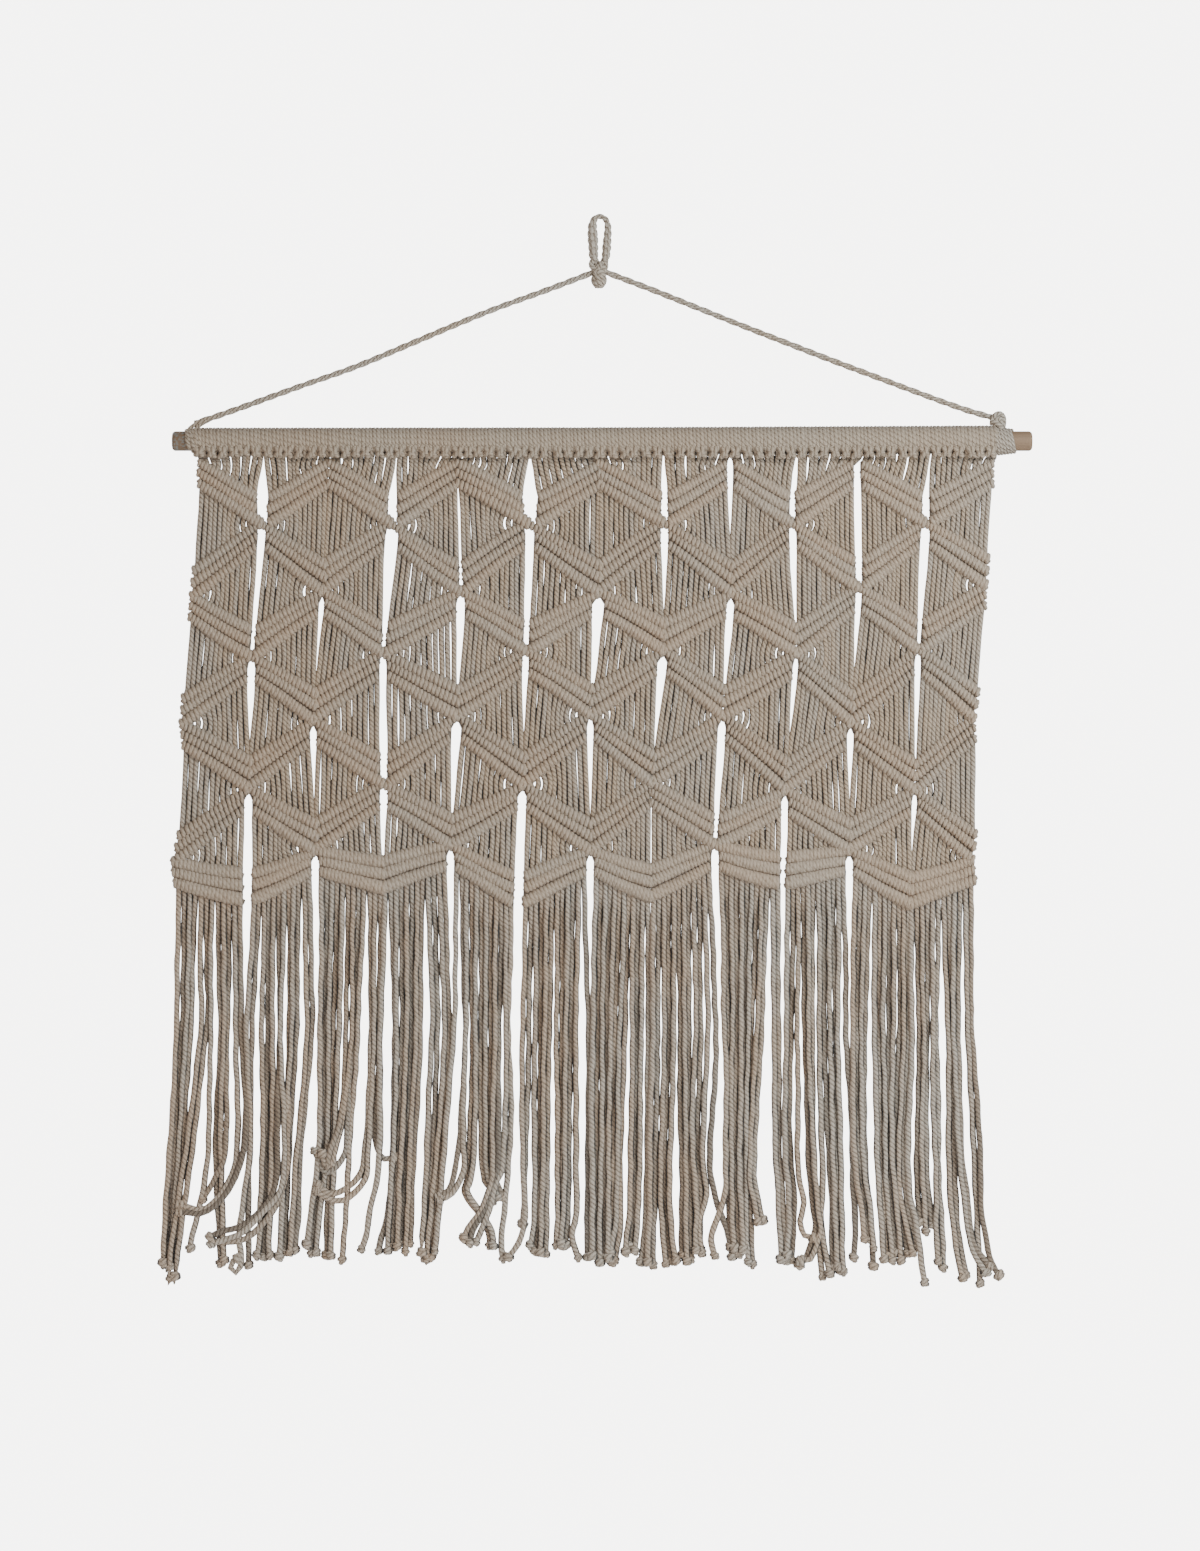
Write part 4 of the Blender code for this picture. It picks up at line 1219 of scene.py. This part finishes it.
@dataclass
class Heading:
    """The lark's head knots: cord wound round the rod, and the crossing of each knot below it."""

    maker: CordMaker
    material: bpy.types.Material
    left: float = -377.0
    right: float = 369.2
    knots: int = 72
    wraps_a_knot: int = 3
    winding_radius: float = 10.1
    cord_radius: float = 2.8
    unevenness: float = 0.03
    side_shade: float = 0.3
    seed: int = 5

    # The winding is laid in parts; it swells to the right, and rises over its right half
    parts: int = 8
    part_steps: int = 16
    swell: float = 0.07
    rise: float = 1.2
    girth_chance: float = 0.006

    # The crossings
    strand_radius: float = 2.6
    strand_step: float = 2.2
    knot_chance: float = 1.8

    # A crossing strand's course: its share of the half width, y, its step apart from its twin, z, and its share
    # of the dip
    COURSE = ((-1.0, -9.6, 0.0, -211.5, 0.0), (-0.6, -9.9, 0.4, -215.0, 0.0),
              (0.5, -8.0, 0.4, -218.0, 1.0), (1.0, -6.0, 0.0, -220.4, 1.0))
    # Ranges of its half width, as a share of the knots' pitch, and of its dip
    HALF_WIDTHS = (0.15, 0.4)
    DIPS = (-1.6, 0.8)

    def crossing_guides(self, number: int, dice: random.Random) -> list[Guide]:
        """The two short strands that cross under the front of the rod at one knot.

        Args:
            number: The knot's number, from the left.
            dice: The source of chance.

        Returns:
            The guides of the strands.
        """
        pitch = (self.right - self.left) / self.knots
        x = self.left + (number + 0.5) * pitch + jitter(dice, self.knot_chance)
        found = []
        for side in (-1, 1):
            half, dip = pitch * dice.uniform(*self.HALF_WIDTHS) * side, dice.uniform(*self.DIPS)
            key = [(x + half * across, y + side * apart, z + dip * low) for across, y, apart, z, low in self.COURSE]
            line = smooth(key, self.strand_step)
            found.append(Guide([RoutePoint(*at) for at in line], tone=dice.uniform(0.3, 0.7)))
        return found

    def part_guide(self, part: int, dice: random.Random) -> Guide:
        """The middle line of one part of the winding."""
        points = []
        for i in range(self.part_steps + 1):
            share = (part + i / self.part_steps) / self.parts
            rise = self.rise * max(0.0, 2 * share - 1)
            points.append(RoutePoint(between(self.left, self.right, share), 0, ROD_Z + rise,
                                     1 + self.swell * share + jitter(dice, self.girth_chance)))
        return Guide(points, tone=0.4 + 0.2 * dice.random())

    def build(self) -> None:
        """Winds the cord on and adds the crossings."""
        dice = random.Random(self.seed)
        carrier = Carrier(("heading_knots",), "cotton_cord")
        guides = [self.part_guide(part, dice) for part in range(self.parts)]
        self.maker.lay("heading_wraps", guides, Laying.WOUND, self.material, carrier,
                       Cord_Radius=self.cord_radius * MM, Sides=6,
                       Turns=self.knots * self.wraps_a_knot / self.parts, Steps_a_Turn=16,
                       Winding_Radius=self.winding_radius * MM, Unevenness=self.unevenness,
                       Side_Shade=self.side_shade, Seed=self.seed)
        crossings = [guide for number in range(self.knots) for guide in self.crossing_guides(number, dice)]
        self.maker.lay("heading_crossings", crossings, Laying.STRAIGHT, self.material, carrier,
                       Cord_Radius=self.strand_radius * MM, Sides=8)


@dataclass
class Hanger:
    """The twisted rope from the rod's ends to the loop, with its turns, knots and loop."""

    maker: CordMaker
    material: bpy.types.Material
    seed: int = 3

    # The two-ply rope, one turn of its twist, and the twists in the whole loop
    rope_radius: float = 3.0
    ply_radius: float = 2.3
    winding_radius: float = 0.85
    unevenness: float = 0.1
    turn: float = 26.0
    run_step: float = 6.0
    loop_step: float = 2.5
    loop_turns: float = 7.5

    # Single strands, in the turns round the rod, in the knot below the loop and in the knot on the rod's end
    turn_radius: float = 1.95
    gather_radius: float = 2.6
    tie_radius: float = 2.5
    strand_step: float = 2.0
    coil_steps: int = 14

    # The knob: its strands, its middle line's x, its top and height, its widest reach and its twist
    knob_strands: int = 8
    knob_parts: int = 8
    knob_x: float = -1.0
    knob_top: float = -49.5
    knob_height: float = 13.2
    knob_reach: float = 5.0
    knob_twist: float = 1.2

    def rope(self, name: str, guide: Guide, node: str, turns: float) -> bpy.types.Object:
        """Lays two-ply rope along a guide.

        Args:
            name: The piece's name.
            guide: The guide.
            node: The solid that the piece stands for.
            turns: How often the plies turn round each other.

        Returns:
            The finished piece.
        """
        return self.maker.lay(name, [guide], Laying.WOUND, self.material, Carrier((node,), "hanging_rope"),
                              Cord_Radius=self.ply_radius * MM, Sides=8, Turns=turns, Steps_a_Turn=10,
                              Winding_Radius=self.winding_radius * MM, Plies=2, Unevenness=self.unevenness,
                              Seed=self.seed)

    def strands(self, name: str, routes: list[list[tuple]], node: str, radius: float) -> None:
        """Lays single thick strands, for a knot or turns.

        Args:
            name: The piece's name.
            routes: The (x, y, z) places of each strand.
            node: The solid that the piece stands for.
            radius: The strands' radius.
        """
        guides = [Guide([RoutePoint(*at) for at in smooth(route, self.strand_step)]) for route in routes]
        self.maker.lay(name, guides, Laying.STRAIGHT, self.material, Carrier((node,), "hanging_rope"),
                       Cord_Radius=radius * MM, Sides=10)

    def make_runs(self) -> None:
        """The two straight runs."""
        for side, route in (("left", ROPE_LEFT), ("right", ROPE_RIGHT)):
            line = smooth(list(route), self.run_step)
            guide = Guide([RoutePoint(at[0], 0, at[1]) for at in line], tone=0.6)
            length = sum((b - a).length for a, b in zip(line, line[1:]))
            piece = self.rope(f"rope_{side}", guide, f"hanger_{side}", length / self.turn)

    def make_turns(self) -> None:
        """The slanting turns of the rope round the rod's ends, and the left run's way down into its turns."""
        # The (x, y, z) places of the run's two plies
        arriving = [
            [(-369, 0, -187.6), (-376, -0.5, -190.8), (-381.2, -1.5, -194.6), (-383.4, -5, -199.5),
             (-383.8, -8.8, -204), (-382.8, -9.8, -209), (-380.5, -8, -214)],
            [(-364, 0.5, -187.2), (-370.5, 0, -190.6), (-375, -2, -194.5), (-378, -7, -199), (-378.6, -10.4, -206),
             (-376.4, -10, -213), (-372.5, -7, -217.5)],
        ]
        for side, left, right, turns, lean, near, far in (
            ("left", -382.0, -371.5, 4, -2.6, 9.6, 11.0), ("right", 367.6, 384.8, 6, -1.9, 11.9, 9.9),
        ):
            route, steps = [], turns * self.coil_steps
            for i in range(steps + 1):
                t = i / steps
                angle = math.tau * turns * t
                reach = between(near, far, t)
                route.append((between(left, right, t) + lean * math.cos(angle), reach * -math.sin(angle),
                              ROD_Z + reach * math.cos(angle)))
            routes = [route, *arriving] if side == "left" else [route]
            self.strands(f"rope_turns_{side}", routes, f"end_turns_{side}", self.turn_radius)

    def make_loop(self) -> None:
        """The loop over the hook: thin over the crown, thicker in the legs, most of all in the left one."""
        # The (x, z, girth) places of each leg, from the crown down
        right = ((-1.0, 2.6, 0.86), (2.6, 2.0, 0.86), (5.4, -0.4, 0.92), (7.0, -4.4, 1.02), (7.4, -9.5, 1.15),
                 (7.0, -16.0, 1.3), (6.4, -23.0, 1.42), (5.9, -30.0, 1.4), (5.0, -37.0, 1.3), (2.6, -42.5, 1.0))
        left = ((-4.4, 0.9, 0.95), (-6.3, -2.2, 1.18), (-7.0, -7.0, 1.45), (-6.9, -12.0, 1.62),
                (-6.5, -19.5, 1.68), (-6.1, -28.5, 1.55), (-5.7, -36.0, 1.45), (-3.2, -42.5, 1.0))
        line = smooth([*reversed(right), *left], self.loop_step)
        guide = Guide([RoutePoint(at[0], 0, at[1], at[2]) for at in line], tone=0.7)
        self.rope("loop_rope", guide, "hanging_loop", self.loop_turns)

    def knob_routes(self) -> list[list[tuple]]:
        """The knob's strands, down from its neck, round its belly and together at its foot."""
        routes = []
        for k in range(self.knob_strands):
            route = []
            for i in range(self.knob_parts + 1):
                t = i / self.knob_parts
                turn = math.tau * k / self.knob_strands + self.knob_twist * t
                reach = self.knob_reach * math.sin(math.pi * (0.04 + 0.88 * t)) ** 0.75
                route.append((self.knob_x + reach * math.sin(turn), -reach * math.cos(turn),
                              self.knob_top - self.knob_height * t))
            routes.append(route)
        return routes

    def make_knots(self) -> None:
        """The knot under the loop with its knob, and the knot on the rod's right end."""
        # The (x, y, z) places of each strand of the two knots
        gather = [
            [(-3.0, 0.0, -37.0), (-7.4, -1.0, -39.6), (-7.8, -2.5, -44.2), (-3.5, -4.0, -48.0)],
            [(3.5, 0.0, -38.0), (5.4, -1.5, -42.0), (4.6, -2.5, -46.5), (1.5, -3.5, -49.5)],
            [(1.2, -2.6, -40.5), (-0.4, -5.0, -46.0), (-1.8, -4.4, -51.0)],
            [(-4.6, -3.4, -51.6), (-2.4, -5.6, -48.6), (1.6, -4.8, -50.0), (3.6, -2.4, -53.4)],
            [(-5.0, -2.6, -45.5), (0.0, -4.2, -44.2), (4.4, -3.2, -46.8)],
            [(-4.0, 2.5, -40.0), (0.0, 3.5, -45.0), (3.5, 2.5, -50.0)],
            [(-3.4, 0.0, -48.0), (-1.0, 0.0, -50.5), (1.4, 0.0, -52.0)],
            [(-11.0, 0.0, -51.4), (-6.0, -0.5, -49.2), (-2.0, -1.0, -47.2)],
            [(10.0, 0.0, -51.2), (6.0, -0.5, -49.4), (2.0, -1.0, -47.4)],
        ]
        self.strands("loop_knot_rope", [*gather, *self.knob_routes()], "loop_knot", self.gather_radius)
        tied = [
            [(364.4, -1.5, -191.4), (365.0, -3.0, -186.4), (368.0, -4.0, -182.0), (372.0, -3.6, -181.2),
             (375.0, -2.0, -184.4), (375.4, -1.0, -190.0), (374.6, -0.5, -194.2)],
            [(363.6, -3.6, -187.6), (369.0, -5.4, -190.6), (374.0, -5.0, -194.8)],
            [(366.6, -3.0, -193.6), (369.4, -5.0, -186.4), (372.6, -3.6, -186.6), (372.0, -2.0, -193.6)],
            [(365.4, 2.0, -191.0), (368.6, 3.4, -184.0), (373.0, 3.0, -184.4), (375.0, 2.0, -191.0)],
            [(367.0, 0.0, -189.0), (370.4, 0.0, -186.0), (373.6, 0.0, -190.0)],
        ]
        self.strands("rod_knot_rope", tied, "end_knot_right", self.tie_radius)

    def build(self) -> None:
        """Makes the rope and all its knots."""
        self.make_runs()
        self.make_turns()
        self.make_loop()
        self.make_knots()


@dataclass
class Rod:
    """The wooden rod, with rounded sawn ends."""

    material: bpy.types.Material
    left: float = -398.0
    right: float = 402.0
    radius: float = 9.2
    rounding: float = 3.4
    corner_steps: int = 4
    sides: int = 48

    def profile(self) -> list[Place]:
        """The (x, radius) points from the left end's middle to the right end's."""
        turns = [math.pi / 2 * i / self.corner_steps for i in range(self.corner_steps + 1)]
        corner = [(self.rounding * (1 - math.cos(a)), self.radius - self.rounding * (1 - math.sin(a)))
                  for a in turns]
        near = [(self.left, 0.0)] + [(self.left + inward, r) for inward, r in corner]
        far = [(self.right - inward, r) for inward, r in reversed(corner)] + [(self.right, 0.0)]
        return near + far

    def build(self) -> None:
        """Spins the rod's profile about its axis."""
        maker = bmesh.new()
        rings = []
        for x, r in self.profile():
            turns = [math.tau * k / self.sides for k in range(self.sides if r else 1)]
            rings.append([maker.verts.new((x * MM, r * math.cos(a) * MM, (ROD_Z + r * math.sin(a)) * MM))
                          for a in turns])
        for ring, after in zip(rings, rings[1:]):
            for k in range(self.sides):
                here, there = k % len(ring), k % len(after)
                corners = [ring[here - 1], ring[here], after[there], after[there - 1]]
                maker.faces.new(list(dict.fromkeys(corners)))
        bmesh.ops.recalc_face_normals(maker, faces=maker.faces)
        mesh = bpy.data.meshes.new("rod_turned")
        maker.to_mesh(mesh)
        maker.free()
        mesh.materials.append(self.material)
        mesh.shade_smooth()
        Carrier(("rod",), "rod_wood").register(add_object("rod_turned", mesh))


@dataclass(frozen=True)
class Lamp:
    """A large square lamp, with its place and size in metres."""

    name: str
    place: tuple[float, float, float]
    size: float
    watts: float
    colour: Colour


@dataclass
class Studio:
    """A plain pale floor in a pale surround, soft light and the camera, in metres."""

    floor_z: float = -1.34
    floor_near: float = -7.0
    floor_far: float = 0.8
    floor_side: float = 6.0
    floor_glow: float = 0.1
    air: float = 0.35
    glow: float = 6.0
    view_x: float = 0.0
    view_z: float = -0.5175
    view_width: float = 1.116
    distance: float = 6.0
    sensor: float = 36.0
    farthest: float = 30.0

    LAMPS = (
        Lamp("key_lamp", (1.6, -1.5, 0.3), 1.2, 70.0, (0.8, 0.93, 1.0)),
        Lamp("fill_lamp", (-2.0, -3.0, 0.4), 2.0, 24.0, (1.0, 0.88, 0.74)),
        Lamp("back_lamp", (-2.4, 2.2, 0.9), 2.0, 110.0, (0.95, 0.97, 1.0)),
    )

    def make_floor(self) -> None:
        """The floor, as pale as the surround."""
        places = [(x, y, self.floor_z) for y in (self.floor_near, self.floor_far)
                  for x in (-self.floor_side, self.floor_side)]
        mesh = bpy.data.meshes.new("studio_floor")
        mesh.from_pydata(places, [], [(0, 1, 3, 2)])
        material, graph, shader = open_material("pale_floor")
        shader.inputs["Base Color"].default_value = (0.93, 0.93, 0.93, 1.0)
        shader.inputs["Roughness"].default_value = 1.0
        seen = graph.add("ShaderNodeLightPath").outputs["Is Camera Ray"]
        shader.inputs["Emission Color"].default_value = (1.0, 1.0, 1.0, 1.0)
        strength = graph.math("MULTIPLY_ADD", seen, self.glow, self.floor_glow)
        graph.put(shader.inputs["Emission Strength"], strength)
        mesh.materials.append(material)
        add_object("studio_floor", mesh)

    def make_air(self) -> None:
        """The surround: soft light from all sides, and a pale backing wherever the camera looks."""
        world = bpy.data.worlds.new("studio_air")
        world.use_nodes = True
        graph = Graph(world.node_tree)
        backing = world.node_tree.nodes["Background"]
        backing.inputs["Color"].default_value = (1.0, 0.99, 0.97, 1.0)
        seen = graph.add("ShaderNodeLightPath").outputs["Is Camera Ray"]
        graph.put(backing.inputs["Strength"], graph.math("MULTIPLY_ADD", seen, self.glow, self.air))
        bpy.context.scene.world = world

    def hang_lamp(self, lamp: Lamp) -> None:
        """Sets up a lamp so that it faces the middle of the object, out of the camera's sight."""
        data = bpy.data.lights.new(lamp.name, "AREA")
        data.size, data.energy, data.color = lamp.size, lamp.watts, lamp.colour
        made = add_object(lamp.name, data)
        made.location = lamp.place
        aim = Vector((self.view_x, 0, self.view_z)) - Vector(lamp.place)
        made.rotation_euler = aim.to_track_quat("-Z", "Y").to_euler()
        made.visible_camera = False

    def place_camera(self) -> None:
        """Sets the camera straight in front."""
        data = bpy.data.cameras.new("camera")
        data.sensor_fit = "HORIZONTAL"
        data.sensor_width = self.sensor
        data.lens = self.sensor * self.distance / self.view_width
        data.clip_end = self.farthest
        camera = add_object("camera", data)
        camera.location = (self.view_x, -self.distance, self.view_z)
        camera.rotation_euler = (math.pi / 2, 0, 0)
        bpy.context.scene.camera = camera

    def build(self) -> None:
        """Sets up the floor, the surround, the lamps and the camera."""
        self.make_floor()
        self.make_air()
        for lamp in self.LAMPS:
            self.hang_lamp(lamp)
        self.place_camera()


def main() -> None:
    """Builds and dresses every piece in order."""
    logging.basicConfig(level=logging.INFO, format="%(name)s %(message)s")
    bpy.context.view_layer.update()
    effects = EffectLibrary()
    maker = CordMaker()
    # The colour of the painted shade in the yarns' twist grooves, which fibre streaks and speckle also darken
    # towards
    groove = (0.17, 0.11, 0.07)
    # The colour of the painted shade on cord flanks, under ridges and behind other cords
    deep = (0.022, 0.013, 0.008)
    bars = CordFinish("bar_cotton", (0.44, 0.315, 0.22), (0.42, 0.33, 0.25), groove, flank_shade=0.5, twill=0.35)
    cords = CordFinish("cord_cotton", (0.46, 0.33, 0.225), (0.45, 0.36, 0.28), groove, deep, groove=0.6,
                       flank_shade=1.0, twill=0.9)
    wraps = CordFinish("heading_cotton", (0.40, 0.295, 0.21), (0.40, 0.315, 0.235), groove, groove=0.4, flank_shade=0.35,
                       twill=0.7)
    tassel = CordFinish("fringe_cotton", (0.475, 0.34, 0.24), (0.485, 0.40, 0.32), groove, deep, groove=0.6,
                        flank_shade=1.0, twill=0.95)
    rope = CordFinish("rope_cotton", (0.44, 0.33, 0.235), (0.44, 0.37, 0.30), groove, groove=0.7, flank_shade=0.0,
                      twill=0.9)
    wood = WoodFinish("rod_wood_grain", (0.32, 0.195, 0.115), (0.13, 0.078, 0.045), (0.19, 0.175, 0.155))
    Studio().build()
    Rod(wood.material()).build()
    Hanger(maker, rope.material(effects)).build()
    Heading(maker, wraps.material(effects)).build()
    KnottedPanel(maker, cords.material(effects), bars.material(effects)).build()
    Fringe(maker, tassel.material(effects)).build()


if __name__ == "__main__":
    main()
